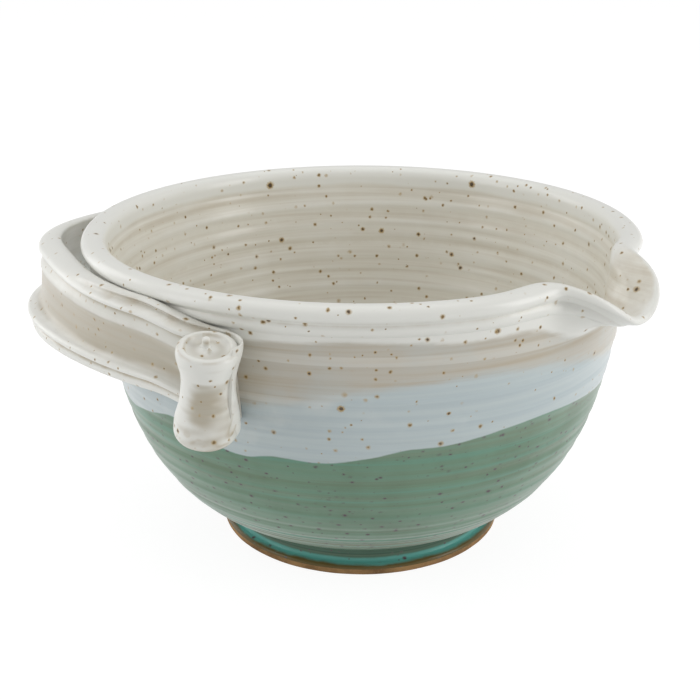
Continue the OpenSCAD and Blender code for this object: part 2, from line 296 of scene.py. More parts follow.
@dataclass
class Graph:
    """A node tree with short calls for adding and joining its nodes."""

    tree: bpy.types.NodeTree

    def feed(self, socket: bpy.types.NodeSocket, value: object) -> None:
        """Joins an output to a socket, or sets the socket to a plain value.

        Args:
            socket: The input socket.
            value: An output to join, or a value.
        """
        if isinstance(value, bpy.types.NodeSocket):
            self.tree.links.new(value, socket)
        else:
            socket.default_value = value

    def add(self, kind: str, inputs: dict | None = None, **settings: object) -> bpy.types.Node:
        """Adds a node.

        Args:
            kind: The node's type.
            inputs: Input names or numbers, with a value or an output to join.
            settings: Properties to set on the node.

        Returns:
            The new node.
        """
        node = self.tree.nodes.new(kind)
        for key, value in settings.items():
            setattr(node, key, value)
        for key, value in (inputs or {}).items():
            self.feed(node.inputs[key], value)
        return node

    def math(self, operation: str, a: object, b: object = 0.0, c: object = 0.0) -> bpy.types.NodeSocket:
        """Returns the result of a Math node; only MULTIPLY_ADD takes the third value."""
        inputs = {0: a, 1: b, 2: c} if operation == "MULTIPLY_ADD" else {0: a, 1: b}
        return self.add("ShaderNodeMath", inputs, operation=operation).outputs[0]

    def vector(self, operation: str, a: object, b: object) -> bpy.types.Node:
        """Adds a Vector Math node of two vectors, or of a vector and a Scale."""
        second = "Scale" if operation == "SCALE" else 1
        return self.add("ShaderNodeVectorMath", {0: a, second: b}, operation=operation)

    def swayed(self, value: object, noise_value: object, reach: float) -> bpy.types.NodeSocket:
        """Returns a value moved up and down by a noise that lies about its middle of 0.5."""
        return self.math("MULTIPLY_ADD", self.math("SUBTRACT", noise_value, 0.5), reach, value)

    def ramp(self, value: object, low: object, high: object) -> bpy.types.NodeSocket:
        """Returns a smooth step of a value from 0 at low to 1 at high."""
        inputs = {"Value": value, "From Min": low, "From Max": high}
        return self.add("ShaderNodeMapRange", inputs, interpolation_type="SMOOTHSTEP").outputs["Result"]

    def mix(self, share: object, under: object, over: object) -> bpy.types.NodeSocket:
        """Mixes two colours.

        Args:
            share: How much the upper colour covers.
            under: The lower colour.
            over: The upper colour.

        Returns:
            The mixed colour.
        """
        node = self.add("ShaderNodeMix", data_type="RGBA")
        sockets = {socket.identifier: socket for socket in node.inputs}
        for key, value in (("Factor_Float", share), ("A_Color", under), ("B_Color", over)):
            self.feed(sockets[key], value)
        return next(s for s in node.outputs if s.identifier == "Result_Color")

    def tinted(self, under: object, over: object, value: object, low: object, high: object,
               share: object = 1.0) -> bpy.types.NodeSocket:
        """Lays a colour over another where a value lies high.

        Args:
            under: The lower colour.
            over: The upper colour.
            value: What decides where the upper colour lies.
            low: The value at which it begins.
            high: The value from which it lies in full.
            share: How much it covers there.

        Returns:
            The new colour.
        """
        return self.mix(self.math("MULTIPLY", self.ramp(value, low, high), share), under, over)

    def place(self) -> bpy.types.NodeSocket:
        """Returns the Object coordinates."""
        return self.add("ShaderNodeTexCoord").outputs["Object"]

    def stretched(self, flat: float, tall: float) -> bpy.types.NodeSocket:
        """Returns Object coordinates scaled by flat in X and Y and by tall in Z."""
        scale = (flat, flat, tall)
        return self.add("ShaderNodeMapping", {"Vector": self.place(), "Scale": scale}).outputs[0]

    def noise(self, vector: object, scale: float, detail: float = 2.0,
              rough: float = 0.5) -> bpy.types.NodeSocket:
        """Returns a noise value."""
        inputs = {"Vector": vector, "Scale": scale, "Detail": detail, "Roughness": rough}
        return self.add("ShaderNodeTexNoise", inputs).outputs[0]

    def attribute(self, name: str) -> bpy.types.NodeSocket:
        """Returns a value that the mesh keeps at its corners."""
        return self.add("ShaderNodeAttribute", attribute_name=name).outputs["Fac"]

    def group(self, tree: bpy.types.NodeTree, inputs: dict | None = None) -> bpy.types.Node:
        """Places a node group.

        Args:
            tree: The group.
            inputs: Input names, with a value or an output to join.

        Returns:
            The group's node.
        """
        node = self.tree.nodes.new("ShaderNodeGroup")
        node.node_tree = tree
        for key, value in (inputs or {}).items():
            self.feed(node.inputs[key], value)
        return node


def srgb(red: float, green: float, blue: float) -> tuple[float, float, float, float]:
    """Returns a screen colour of 0 to 255 as a linear colour."""
    return tuple(((v / 255 + 0.055) / 1.055) ** 2.4 if v > 10 else v / 255 / 12.92
                 for v in (red, green, blue)) + (1.0,)


def new_material(name: str) -> tuple[Graph, bpy.types.Node]:
    """Starts a material.

    Args:
        name: The material's name.

    Returns:
        Its graph and its Principled shader.
    """
    material = bpy.data.materials.new(name)
    material.use_nodes = True
    graph = Graph(material.node_tree)
    return graph, graph.tree.nodes["Principled BSDF"]


def new_group(name: str, inputs: dict[str, float | tuple],
              outputs: Sequence[str]) -> tuple[Graph, bpy.types.Node, bpy.types.Node]:
    """Starts a shader node group.

    Args:
        name: The group's name.
        inputs: Input names with their default values; a tuple of three makes a vector.
        outputs: Names of the values that it puts out.

    Returns:
        The group's graph, its input node and its output node.
    """
    tree = bpy.data.node_groups.new(name, "ShaderNodeTree")
    for key, value in inputs.items():
        kind = VECTOR if isinstance(value, tuple) else FLOAT
        socket = tree.interface.new_socket(key, in_out="INPUT", socket_type=kind)
        socket.default_value = value
    for key in outputs:
        tree.interface.new_socket(key, in_out="OUTPUT", socket_type=FLOAT)
    return Graph(tree), tree.nodes.new("NodeGroupInput"), tree.nodes.new("NodeGroupOutput")


@dataclass(frozen=True)
class IronMark:
    """How an iron mark fades, in shares of its radius, and how uneven it is."""

    ripple_scale: float
    ripple: float
    core_in: float
    halo_out: float
    halo_in: float

    def edges(self, g: Graph, gap: object, radius: object) -> dict[str, bpy.types.NodeSocket]:
        """Makes the dark core and the soft halo.

        Args:
            g: The group's graph.
            gap: Distance from the mark's middle.
            radius: The mark's radius.

        Returns:
            The values Core and Halo.
        """
        reach = [g.math("MULTIPLY", radius, share) for share in (self.core_in, self.halo_out, self.halo_in)]
        return {"Core": g.ramp(gap, radius, reach[0]), "Halo": g.ramp(gap, reach[1], reach[2])}


SPECK_MARK = IronMark(ripple_scale=900.0, ripple=0.0007, core_in=0.45, halo_out=1.75, halo_in=0.7)
SPECK_LEAST = 0.2
SPECK_POWER = 1.6
SPOT_MARK = IronMark(ripple_scale=1400.0, ripple=0.9, core_in=0.6, halo_out=1.9, halo_in=0.8)
SPOT_RAGGED = 0.55


def speck_group() -> bpy.types.NodeTree:
    """Makes the iron specks: small round spots of mixed sizes, each with a soft halo.

    Returns:
        The node group, with the outputs Core and Halo.
    """
    inputs = {"Cells": 150.0, "Share": 0.3, "Size": 0.25, "Flat": 1.0}
    g, given, out = new_group("iron_specks", inputs, ("Core", "Halo"))
    place = g.place()
    flat = g.add("ShaderNodeCombineXYZ", {0: 1.0, 1: 1.0, 2: given.outputs["Flat"]}).outputs[0]
    ripple = {"Vector": place, "Scale": SPECK_MARK.ripple_scale, "Detail": 1.0}
    ripple = g.add("ShaderNodeTexNoise", ripple).outputs["Color"]
    ripple = g.vector("SCALE", ripple, SPECK_MARK.ripple).outputs[0]
    put = g.vector("ADD", g.vector("MULTIPLY", place, flat).outputs[0], ripple).outputs[0]
    cells = {"Vector": put, "Scale": given.outputs["Cells"], "Randomness": 1.0}
    cells = g.add("ShaderNodeTexVoronoi", cells)
    chance = g.add("ShaderNodeSeparateColor", {0: cells.outputs["Color"]})
    live = g.math("LESS_THAN", chance.outputs[0], given.outputs["Share"])
    size = g.math("POWER", chance.outputs[1], SPECK_POWER)
    size = g.math("MULTIPLY_ADD", size, 1.0 - SPECK_LEAST, SPECK_LEAST)
    radius = g.math("MULTIPLY", size, given.outputs["Size"])
    for name, value in SPECK_MARK.edges(g, cells.outputs["Distance"], radius).items():
        g.feed(out.inputs[name], g.math("MULTIPLY", value, live))
    return g.tree


def spot_group() -> bpy.types.NodeTree:
    """Makes one large iron spot at a chosen place.

    Returns:
        The node group, with the outputs Core and Halo.
    """
    inputs = {"Centre": (0.0, 0.0, 0.0), "Radius": METRES}
    g, given, out = new_group("iron_spot", inputs, ("Core", "Halo"))
    place = g.place()
    ragged = g.noise(place, SPOT_MARK.ripple_scale)
    ragged = g.math("MULTIPLY_ADD", ragged, SPOT_MARK.ripple, SPOT_RAGGED)
    gap = g.vector("DISTANCE", place, given.outputs["Centre"]).outputs["Value"]
    gap = g.math("MULTIPLY", gap, ragged)
    for name, value in SPOT_MARK.edges(g, gap, given.outputs["Radius"]).items():
        g.feed(out.inputs[name], value)
    return g.tree


def cloud_group() -> bpy.types.NodeTree:
    """Makes the soft clouds and level streaks of a brushed or poured glaze.

    Returns:
        The node group, with the outputs Cloud, Streak and Grain.
    """
    g, _, out = new_group("glaze_clouds", {}, ("Cloud", "Streak", "Grain"))
    g.feed(out.inputs["Cloud"], g.noise(g.place(), scale=38.0, detail=4.0, rough=0.55))
    g.feed(out.inputs["Streak"], g.noise(g.stretched(9.0, 420.0), scale=1.0, detail=3.0, rough=0.6))
    g.feed(out.inputs["Grain"], g.noise(g.place(), scale=150.0))
    return g.tree


@dataclass(frozen=True)
class Spot:
    """A large iron spot: its centre and radius."""

    x: float
    y: float
    z: float
    radius: float


class Studio:
    """The shared shader groups."""

    def __init__(self) -> None:
        """Builds the shared groups once."""
        self.specks = speck_group()
        self.spot = spot_group()
        self.clouds = cloud_group()


@dataclass(frozen=True)
class GlazeTones:
    """Colours of the glazes and of the iron in them."""

    white: tuple = srgb(231, 231, 225)
    beige: tuple = srgb(192, 187, 175)
    web: tuple = srgb(186, 180, 164)
    inside: tuple = srgb(224, 221, 210)
    blue: tuple = srgb(191, 202, 203)
    blue_deep: tuple = srgb(178, 191, 195)
    green: tuple = srgb(114, 145, 123)
    green_deep: tuple = srgb(106, 132, 110)
    # a dark green for the fine turned lines, also used as painted shade on the neck
    green_dark_and_shade: tuple = srgb(56, 84, 68)
    turquoise: tuple = srgb(104, 156, 138)
    moss: tuple = srgb(112, 112, 84)
    sage: tuple = srgb(164, 182, 160)
    pool: tuple = srgb(100, 176, 166)
    olive: tuple = srgb(106, 90, 50)
    rust: tuple = srgb(178, 150, 96)
    umber: tuple = srgb(122, 97, 52)
    iron: tuple = srgb(82, 65, 46)
    tan: tuple = srgb(178, 162, 134)
    plum: tuple = srgb(102, 108, 100)
    plum_deep: tuple = srgb(92, 78, 84)


@dataclass(frozen=True)
class Specks:
    """Iron specks: cells to the metre, the share that hold one, their largest radius and their flatness."""

    cells: float
    share: float
    size: float
    flat: float = 1.0


FINE_SPECKS = Specks(260.0, 0.75, 0.2)
BAND_SPECKS = Specks(150.0, 0.5, 0.15)
LINER_SPECKS = Specks(150.0, 0.55, 0.15)
HANDLE_SPECKS = Specks(170.0, 0.4, 0.15)
PLUM_SPECKS = Specks(290.0, 0.95, 0.27, 1.4)


@dataclass(frozen=True)
class GreenLevels:
    """Heights at which the green glaze begins to change, and at which it has changed in full."""

    brown: tuple[float, float] = (50.0, 14.0)
    turned: tuple[float, float] = (40.0, 16.0)
    # neck: the heights of the painted shade that darkens the neck
    neck: tuple[float, float] = (17.0, 8.5)
    pool: tuple[float, float] = (6.9, 5.7)
    olive: tuple[float, float] = (4.7, 3.9)


@dataclass(frozen=True)
class GlazeFinish:
    """A satin glaze over iron-specked clay."""

    studio: Studio
    name: str
    tones: GlazeTones = GlazeTones()
    levels: GreenLevels = GreenLevels()
    rough: float = 0.3
    rough_sway: float = 0.22
    least_rough: float = 0.285
    sheen: float = 0.45
    coat_share: float = 0.4
    coat_rough: float = 0.2
    grain_share: float = 0.1
    grain_depth: float = 0.0001
    halo_share: float = 0.75
    spots: tuple[Spot, ...] = ()

    def ironed(self, g: Graph, colour: object, specks: Specks, halo: tuple,
               core: tuple) -> bpy.types.NodeSocket:
        """Lays iron specks over a colour.

        Args:
            g: The material's graph.
            colour: The colour under the specks.
            specks: How many they are, and how large.
            halo: The colour round a speck.
            core: The colour of its middle.

        Returns:
            The new colour.
        """
        marks = g.group(self.studio.specks, {"Cells": specks.cells, "Share": specks.share,
                                             "Size": specks.size, "Flat": specks.flat})
        colour = g.mix(g.math("MULTIPLY", marks.outputs["Halo"], self.halo_share), colour, halo)
        return g.mix(marks.outputs["Core"], colour, core)

    def speckled(self, g: Graph, colour: object, large: Specks) -> bpy.types.NodeSocket:
        """Lays the large specks and then the fine ones over a colour.

        Args:
            g: The material's graph.
            colour: The colour under the specks.
            large: The large specks.

        Returns:
            The new colour.
        """
        colour = self.ironed(g, colour, large, self.tones.rust, self.tones.iron)
        return self.ironed(g, colour, FINE_SPECKS, self.tones.rust, self.tones.umber)

    def spotted(self, g: Graph, colour: object) -> bpy.types.NodeSocket:
        """Lays the large spots over a colour.

        Args:
            g: The material's graph.
            colour: The colour under the spots.

        Returns:
            The new colour.
        """
        for spot in self.spots:
            centre = (spot.x * METRES, spot.y * METRES, spot.z * METRES)
            mark = g.group(self.studio.spot, {"Centre": centre, "Radius": spot.radius * METRES})
            colour = g.mix(mark.outputs["Halo"], colour, self.tones.rust)
            colour = g.mix(mark.outputs["Core"], colour, self.tones.iron)
        return colour

    def surfaced(self, g: Graph, shader: bpy.types.Node, colour: object, clouds: bpy.types.Node) -> None:
        """Joins a colour and the glaze's fine surface to the shader.

        Args:
            g: The material's graph.
            shader: Its Principled shader.
            colour: The glaze's colour.
            clouds: The shared clouds, which vary the roughness and the grain.
        """
        rough = g.swayed(self.rough, clouds.outputs["Cloud"], self.rough_sway)
        bump = g.add("ShaderNodeBump", {"Height": clouds.outputs["Grain"], "Strength": self.grain_share,
                                        "Distance": self.grain_depth})
        g.feed(shader.inputs["Base Color"], colour)
        g.feed(shader.inputs["Roughness"], g.math("MAXIMUM", rough, self.least_rough))
        g.feed(shader.inputs["Normal"], bump.outputs[0])
        g.feed(shader.inputs["Specular IOR Level"], self.sheen)
        g.feed(shader.inputs["Coat Weight"], self.coat_share * self.sheen)
        g.feed(shader.inputs["Coat Roughness"], self.coat_rough)

    def cream(self, g: Graph, clouds: bpy.types.Node, fine: bpy.types.NodeSocket) -> bpy.types.NodeSocket:
        """Makes the cream under the lip, with level tan and pale streaks, and the white above it.

        Args:
            g: The material's graph.
            clouds: The shared clouds and streaks.
            fine: A fine noise that makes the edges uneven.

        Returns:
            The colour.
        """
        t = self.tones
        beige = g.tinted(t.beige, t.tan, clouds.outputs["Streak"], 0.4, 0.75, 0.6)
        beige = g.tinted(beige, t.white, g.attribute("ring"), 0.1, 0.9, 0.3)
        beige = g.tinted(beige, t.blue, clouds.outputs["Cloud"], 0.45, 0.75, 0.35)
        return g.tinted(beige, t.white, g.swayed(g.attribute("over_white"), fine, 3.2), -1.8, 0.9)

    def pale_blue(self, g: Graph, clouds: bpy.types.Node, fine: bpy.types.NodeSocket,
                  cream: object) -> bpy.types.NodeSocket:
        """Makes the pale blue, lightly streaked, with the cream above its soft edge.

        Args:
            g: The material's graph.
            clouds: The shared clouds and streaks.
            fine: A fine noise that makes the edges uneven.
            cream: The colour above the edge.

        Returns:
            The colour.
        """
        t = self.tones
        streak = clouds.outputs["Streak"]
        pale = g.tinted(t.blue, t.blue_deep, streak, 0.3, 0.8)
        pale = g.tinted(pale, t.white, clouds.outputs["Cloud"], 0.55, 0.8, 0.35)
        edge = g.swayed(g.swayed(g.attribute("over_blue"), fine, 5.5), streak, 4.5)
        return g.tinted(pale, cream, edge, -3.2, 3.0)

    def green(self, g: Graph, clouds: bpy.types.Node, fine: bpy.types.NodeSocket) -> bpy.types.NodeSocket:
        """Makes the green: fine lines that follow the turning, painted shade darkening the neck and a pool of
        bright glaze.

        Args:
            g: The material's graph.
            clouds: The shared clouds.
            fine: A fine noise that makes the levels uneven.

        Returns:
            The colour.
        """
        t, at = self.tones, self.levels
        height = g.swayed(g.attribute("height"), fine, 1.4)
        low = g.ramp(height, *at.brown)
        leaf = g.tinted(t.green, t.green_deep, clouds.outputs["Cloud"], 0.35, 0.7)
        # turquoise and brown lines
        lines = g.noise(g.stretched(6.0, 560.0), scale=1.0, detail=3.0, rough=0.55)
        leaf = g.tinted(leaf, t.turquoise, lines, 0.54, 0.7, g.math("MULTIPLY_ADD", low, 0.3, 0.5))
        leaf = g.tinted(leaf, t.moss, lines, 0.47, 0.34, g.math("MULTIPLY_ADD", low, 0.35, 0.25))
        leaf = g.tinted(leaf, t.turquoise, g.attribute("ring"), 0.3, 1.0, 0.15)
        # finer pale and dark lines low on the wall
        turned = g.noise(g.stretched(4.0, 820.0), scale=1.0)
        share = g.math("MULTIPLY", g.ramp(height, *at.turned), 0.5)
        leaf = g.tinted(leaf, t.sage, turned, 0.52, 0.64, share)
        leaf = g.tinted(leaf, t.green_dark_and_shade, turned, 0.46, 0.36, share)
        # painted shade darkening the neck, the pool in its crease, and a thin olive edge above the bare clay
        leaf = g.tinted(leaf, t.green_dark_and_shade, height, *at.neck, 0.6)
        leaf = g.tinted(leaf, t.pool, height, *at.pool, 0.92)
        return g.tinted(leaf, t.olive, height, *at.olive)

    def banded(self) -> bpy.types.Material:
        """Makes the outer glaze, whose bands follow the heights that the mesh keeps.

        Returns:
            The material.
        """
        t = self.tones
        g, shader = new_material(self.name)
        clouds = g.group(self.studio.clouds)
        fine = g.noise(g.stretched(60.0, 260.0), scale=1.0, detail=4.0, rough=0.6)
        upper = self.pale_blue(g, clouds, fine, self.cream(g, clouds, fine))
        upper = self.speckled(g, upper, BAND_SPECKS)
        leaf = self.ironed(g, self.green(g, clouds, fine), PLUM_SPECKS, t.plum, t.plum_deep)
        edge = g.swayed(g.attribute("over_green"), fine, 1.0)
        colour = g.tinted(leaf, upper, edge, -0.35, 0.35)
        self.surfaced(g, shader, self.spotted(g, colour), clouds)
        return bpy.data.materials[self.name]

    def plain(self, deep: tuple, specks: Specks) -> bpy.types.Material:
        """Makes a pale glaze that is white where it lies thick and darker where it is thin.

        Args:
            deep: The colour where the glaze is thin.
            specks: The larger specks.

        Returns:
            The material.
        """
        t = self.tones
        g, shader = new_material(self.name)
        clouds = g.group(self.studio.clouds)
        streak = clouds.outputs["Streak"]
        under = g.mix(0.6, g.tinted(deep, t.tan, streak, 0.35, 0.75), deep)
        thick = g.swayed(g.swayed(g.attribute("thick"), clouds.outputs["Cloud"], 0.7), streak, 0.25)
        colour = g.tinted(under, t.white, thick, 0.1, 0.9)
        breaks = g.noise(g.place(), scale=160.0, detail=4.0, rough=0.6)
        colour = g.tinted(colour, t.tan, breaks, 0.3, 0.65, g.attribute("thin"))
        colour = self.speckled(g, colour, specks)
        self.surfaced(g, shader, self.spotted(g, colour), clouds)
        return bpy.data.materials[self.name]


@dataclass(frozen=True)
class ClayFinish:
    """Bare fired stoneware: brown, matt and grainy."""

    name: str = "bare_stoneware"
    tone: tuple = srgb(176, 136, 90)
    dark: tuple = srgb(128, 96, 60)
    sand: tuple = srgb(205, 165, 118)
    rough: float = 0.85
    grain_share: float = 0.6
    grain_depth: float = 0.0002

    def material(self) -> bpy.types.Material:
        """Makes the material.

        Returns:
            The material.
        """
        g, shader = new_material(self.name)
        grain = g.noise(g.place(), scale=900.0, detail=5.0, rough=0.65)
        patch = g.noise(g.place(), scale=60.0, detail=4.0, rough=0.6)
        colour = g.tinted(self.tone, self.dark, patch, 0.35, 0.7)
        colour = g.tinted(colour, self.sand, grain, 0.55, 0.75, 0.5)
        bump = g.add("ShaderNodeBump", {"Height": grain, "Strength": self.grain_share,
                                        "Distance": self.grain_depth})
        g.feed(shader.inputs["Base Color"], colour)
        g.feed(shader.inputs["Roughness"], self.rough)
        g.feed(shader.inputs["Normal"], bump.outputs[0])
        return bpy.data.materials[self.name]


# Bowl

@dataclass(frozen=True)
class ThrowingRings:
    """Marks that fingers leave in turning clay: waves of period, depth and phase along the wall."""

    waves: tuple[tuple[float, float, float], ...]
    climb: float = 1.4
    climb_turn: float = 40.0
    uneven: float = 0.8

    def at(self, s: float, turn: float) -> float:
        """Works out how far the wall stands out.

        Args:
            s: Height on the wall.
            turn: Direction round the bowl.

        Returns:
            The distance, which is below 0 where the wall stands in.
        """
        s += self.climb * math.cos(math.radians(turn - self.climb_turn))
        out = 0.0
        for period, depth, phase in self.waves:
            sway = self.uneven * math.sin(s / period + phase)
            out += depth * math.sin(math.tau * s / period + phase + sway)
        return out

    @property
    def reach(self) -> float:
        """The depth of all waves together."""
        return sum(wave[1] for wave in self.waves)


@dataclass(frozen=True)
class TurnedLines:
    """Fine lines that a tool turned low on the wall."""

    depth: float = 0.13
    pitch: float = 2.1
    sway: float = 1.5
    sway_pitch: float = 3.3
    top_z: float = 42.0

    def at(self, z: float) -> float:
        """Returns how far the wall stands out at height z."""
        sway = self.sway * math.sin(z / self.sway_pitch)
        return self.depth * math.sin(math.tau * z / self.pitch + sway)


# Lip: out and up its outline as shares of its reach and height, and how far each point moves out and up
# where the spout's rim is thin
LIP_SHARES = (
    (0.18, 0.0, 0.0, 0.0), (0.44, 0.1, -0.1, 0.0), (0.6, 0.24, -0.35, 0.0), (0.56, 0.38, -0.5, 0.03),
    (0.52, 0.45, -0.45, 0.08), (0.7, 0.5, -0.38, 0.12), (0.92, 0.57, -0.16, 0.12), (1.0, 0.7, 0.0, 0.05),
    (0.86, 0.85, 0.18, 0.0), (0.5, 0.965, 0.45, 0.0), (0.0, 1.0, 0.68, 0.0), (-0.48, 0.965, 0.82, -0.02),
    (-0.84, 0.84, 0.8, -0.01), (-1.0, 0.66, 0.55, 0.06), (-1.02, 0.4, 0.1, 0.16), (-1.02, 0.14, 0.0, 0.0))
MOVES = ("move_out", "move_up")


@dataclass
class BowlShape:
    """Sizes and outlines of the bowl, the same as those of the CAD solids."""

    lip_r: float = 110.4
    bowl_h: float = 133.2
    wall_t: float = 6.0
    floor_t: float = 7.5
    wall_flare: float = 16.0
    floor_inset: float = 14.0
    lip_h: float = 11.7
    lip_reach: float = 5.0
    lip_step: float = 0.9
    spout_turn: float = -37.0
    spout_reach: float = 14.0
    spout_dip: float = 15.0
    spout_depth: float = 25.0
    pinch_in: float = 2.0
    pinch_lift: float = 0.6
    pull_spread: float = 11.0
    pull_square: float = 4.6
    rim_spread: float = 15.0
    rim_square: float = 8.0
    tip_share: float = 0.5
    dip_spread: float = 8.2
    dip_square: float = 2.6
    pinch_turn: float = 18.0
    pinch_spread: float = 7.0
    slope_turn: float = 0.5
    foot_r: float = 60.8
    foot_h: float = 8.5
    foot_w: float = 9.5
    bare_h: float = 2.8
    neck_cut: float = 2.6
    foot_swell: float = 0.8
    root_sink: float = 4.1
    root_rise: float = 1.5
    belly_turn_share: float = 4.1
    belly_round_share: float = 0.7
    glaze_t: float = 0.6
    turned_z: float = 36.0
    cream_h: float = 25.0
    blue_h: float = 23.0
    wall_points: int = 400
    inner_points: int = 500
    inner_crowding: float = 1.6
    outer_rings: ThrowingRings = ThrowingRings(
        ((9.1, 0.10, 0.3), (5.3, 0.09, 1.9), (3.1, 0.05, 4.0), (14.0, 0.10, 2.2)))
    inner_rings: ThrowingRings = ThrowingRings(
        ((8.3, 0.12, 0.9), (5.1, 0.08, 2.7), (13.7, 0.14, 4.4)), climb=2.6, climb_turn=160.0)

    def __post_init__(self) -> None:
        """Works out the levels that follow from the sizes."""
        self.wall_top_z = self.bowl_h - self.lip_h
        self.floor_z = self.foot_h + self.floor_t
        self.blue_top_z = self.wall_top_z - self.cream_h
        self.green_top_z = self.blue_top_z - self.blue_h
        self.throat_z = self.bowl_h - self.spout_depth
        self.neck_r = self.foot_r - self.neck_cut
        self.root_r = self.neck_r - self.root_sink
        self.root_z = self.foot_h + self.root_rise
        self.wall_top_r = self.lip_r + self.lip_step
        self.floor_edge_r = self.root_r - self.floor_inset

    def belly(self, t: float) -> float:
        """Returns how far out the curve of the wall is, from 0 to 1, a share t of the way up."""
        t = min(max(t, 0.0), 1.0)
        return (1 - (1 - t) ** self.belly_turn_share) ** self.belly_round_share

    def wall_r(self, z: float) -> float:
        """Returns the radius of the glazed outer wall at height z, without its rings."""
        t = (z - self.root_z) / (self.wall_top_z - self.root_z)
        run = self.wall_top_r - self.root_r - self.wall_flare
        return self.root_r + run * self.belly(t) + self.wall_flare * t

    def inner_r(self, z: float) -> float:
        """Returns the radius of the glazed inner wall at height z, without its rings."""
        t = (z - self.floor_z) / (self.wall_top_z - self.floor_z)
        run = self.wall_top_r - self.wall_t - self.floor_edge_r - self.wall_flare
        return self.floor_edge_r + run * self.belly(t) + self.wall_flare * t - self.glaze_t

    def wall_line(self, low: float, high: float) -> list[Point]:
        """Returns a dense outline of the outer wall between two heights, upwards."""
        levels = [blend(low, high, k / self.wall_points) for k in range(self.wall_points + 1)]
        return [(self.wall_r(z), z) for z in levels]

    def inner_line(self) -> list[Point]:
        """Returns a dense outline of the inner wall, from its top down to the floor's edge."""
        count = self.inner_points
        shares = [(1 - k / count) ** self.inner_crowding for k in range(count + 1)]
        levels = [blend(self.floor_z + self.glaze_t, self.wall_top_z, share) for share in shares]
        return [(self.inner_r(z), z) for z in levels]

    def from_spout(self, turn: float) -> float:
        """Returns the angle between a direction and the spout's middle, from -180 to 180."""
        return (turn - self.spout_turn + FULL_TURN / 2) % FULL_TURN - FULL_TURN / 2

    def pull(self, a: float) -> float:
        """Returns the spout's pull, from 0 to 1, at the angle a from its middle."""
        return plateau(a / self.pull_spread, self.pull_square)

    def dip(self, a: float) -> float:
        """Returns the spout's dip, from 0 to 1, at the angle a from its middle."""
        return plateau(a / self.dip_spread, self.dip_square)

    def rim(self, a: float) -> float:
        """Returns how thin the spout's rim is, from 0 to 1, at the angle a from its middle."""
        return plateau(a / self.rim_spread, self.rim_square) * (1 - self.tip_share * self.dip(a))

    def nips(self, a: float) -> float:
        """Returns the pinches beside the spout, from 0 to 1, at the angle a from its middle."""
        return lobe((abs(a) - self.pinch_turn) / self.pinch_spread)

    def pulled_r(self, a: float, rise: float) -> float:
        """Returns the radius of the lip's middle at the angle a from the spout's middle."""
        return self.lip_r + rise * (self.spout_reach * self.pull(a) - self.pinch_in * self.nips(a))

    def place(self, r: float, z: float, turn: float, move: Sequence[float] = (0.0, 0.0)) -> Vector:
        """Carries a point of an outline round to a direction, out and down with the spout.

        Args:
            r: Radius in the outline.
            z: Height in the outline.
            turn: Direction round the bowl.
            move: How far the point moves out and up where the spout's rim is thin.

        Returns:
            The point in space.
        """
        a = self.from_spout(turn)
        thin = self.rim(a)
        r, z = r + thin * move[0], z + thin * move[1]
        rise = ease((z - self.throat_z) / (self.bowl_h - self.throat_z))
        base = self.pulled_r(a, rise)
        step = self.slope_turn
        slope = (self.pulled_r(a + step, rise) - self.pulled_r(a - step, rise)) / math.radians(2 * step)
        size = math.hypot(base, slope)
        out, side = base * (r - self.lip_r) / size, -slope * (r - self.lip_r) / size
        angle = math.radians(turn)
        return Vector((
            (base + out) * math.cos(angle) - side * math.sin(angle),
            (base + out) * math.sin(angle) + side * math.cos(angle),
            z + rise * (self.pinch_lift * self.nips(a) - self.spout_dip * self.dip(a))))


# Heights of the glaze edges round the bowl: direction and height
WHITE_EDGE = ((-170, 119.5), (-150, 120.5), (-125, 119.0), (-112, 118.2), (-100, 119.4), (-92, 120.2),
              (-83, 119.9), (-74, 118.4), (-65, 118.6), (-55, 117.2), (-47, 111.5), (-38, 111.0),
              (-20, 118.0), (0, 119.6), (25, 118.4), (50, 120.0), (80, 118.8), (110, 119.8), (140, 118.5))
BLUE_EDGE = ((-175, 96.0), (-150, 93.5), (-130, 92.4), (-113, 92.9), (-105, 94.7), (-94, 98.8), (-78, 103.0),
             (-60, 103.1), (-40, 98.7), (-22, 90.5), (-5, 90.0), (20, 94.5), (45, 99.5), (75, 101.5),
             (105, 98.0), (135, 94.0), (160, 95.0))
GREEN_EDGE = ((-172, 74.5), (-153, 70.7), (-142, 73.9), (-133, 77.4), (-126, 74.2), (-120, 70.5),
              (-114, 69.5), (-110, 70.9), (-107, 71.4), (-101, 70.5), (-96, 70.8), (-90, 72.5), (-81, 76.1),
              (-72, 76.6), (-57, 79.9), (-44, 80.2), (-23, 76.7), (-5, 73.0), (15, 71.5), (35, 74.0),
              (60, 78.5), (85, 76.0), (110, 72.0), (135, 75.5), (160, 77.0))

BAND_LAYERS = ("over_white", "over_blue", "over_green", "ring", "height")
GLAZE_LAYERS = ("thick", "thin")
# Foot's outline: in from its outer edge and up from the bare clay, as shares
FOOT_SHARES = ((0.0, 0.0), (0.03, 0.1), (0.18, 0.2), (0.5, 0.3), (0.8, 0.37), (0.95, 0.5), (1.0, 0.78),
               (1.0, 1.0))


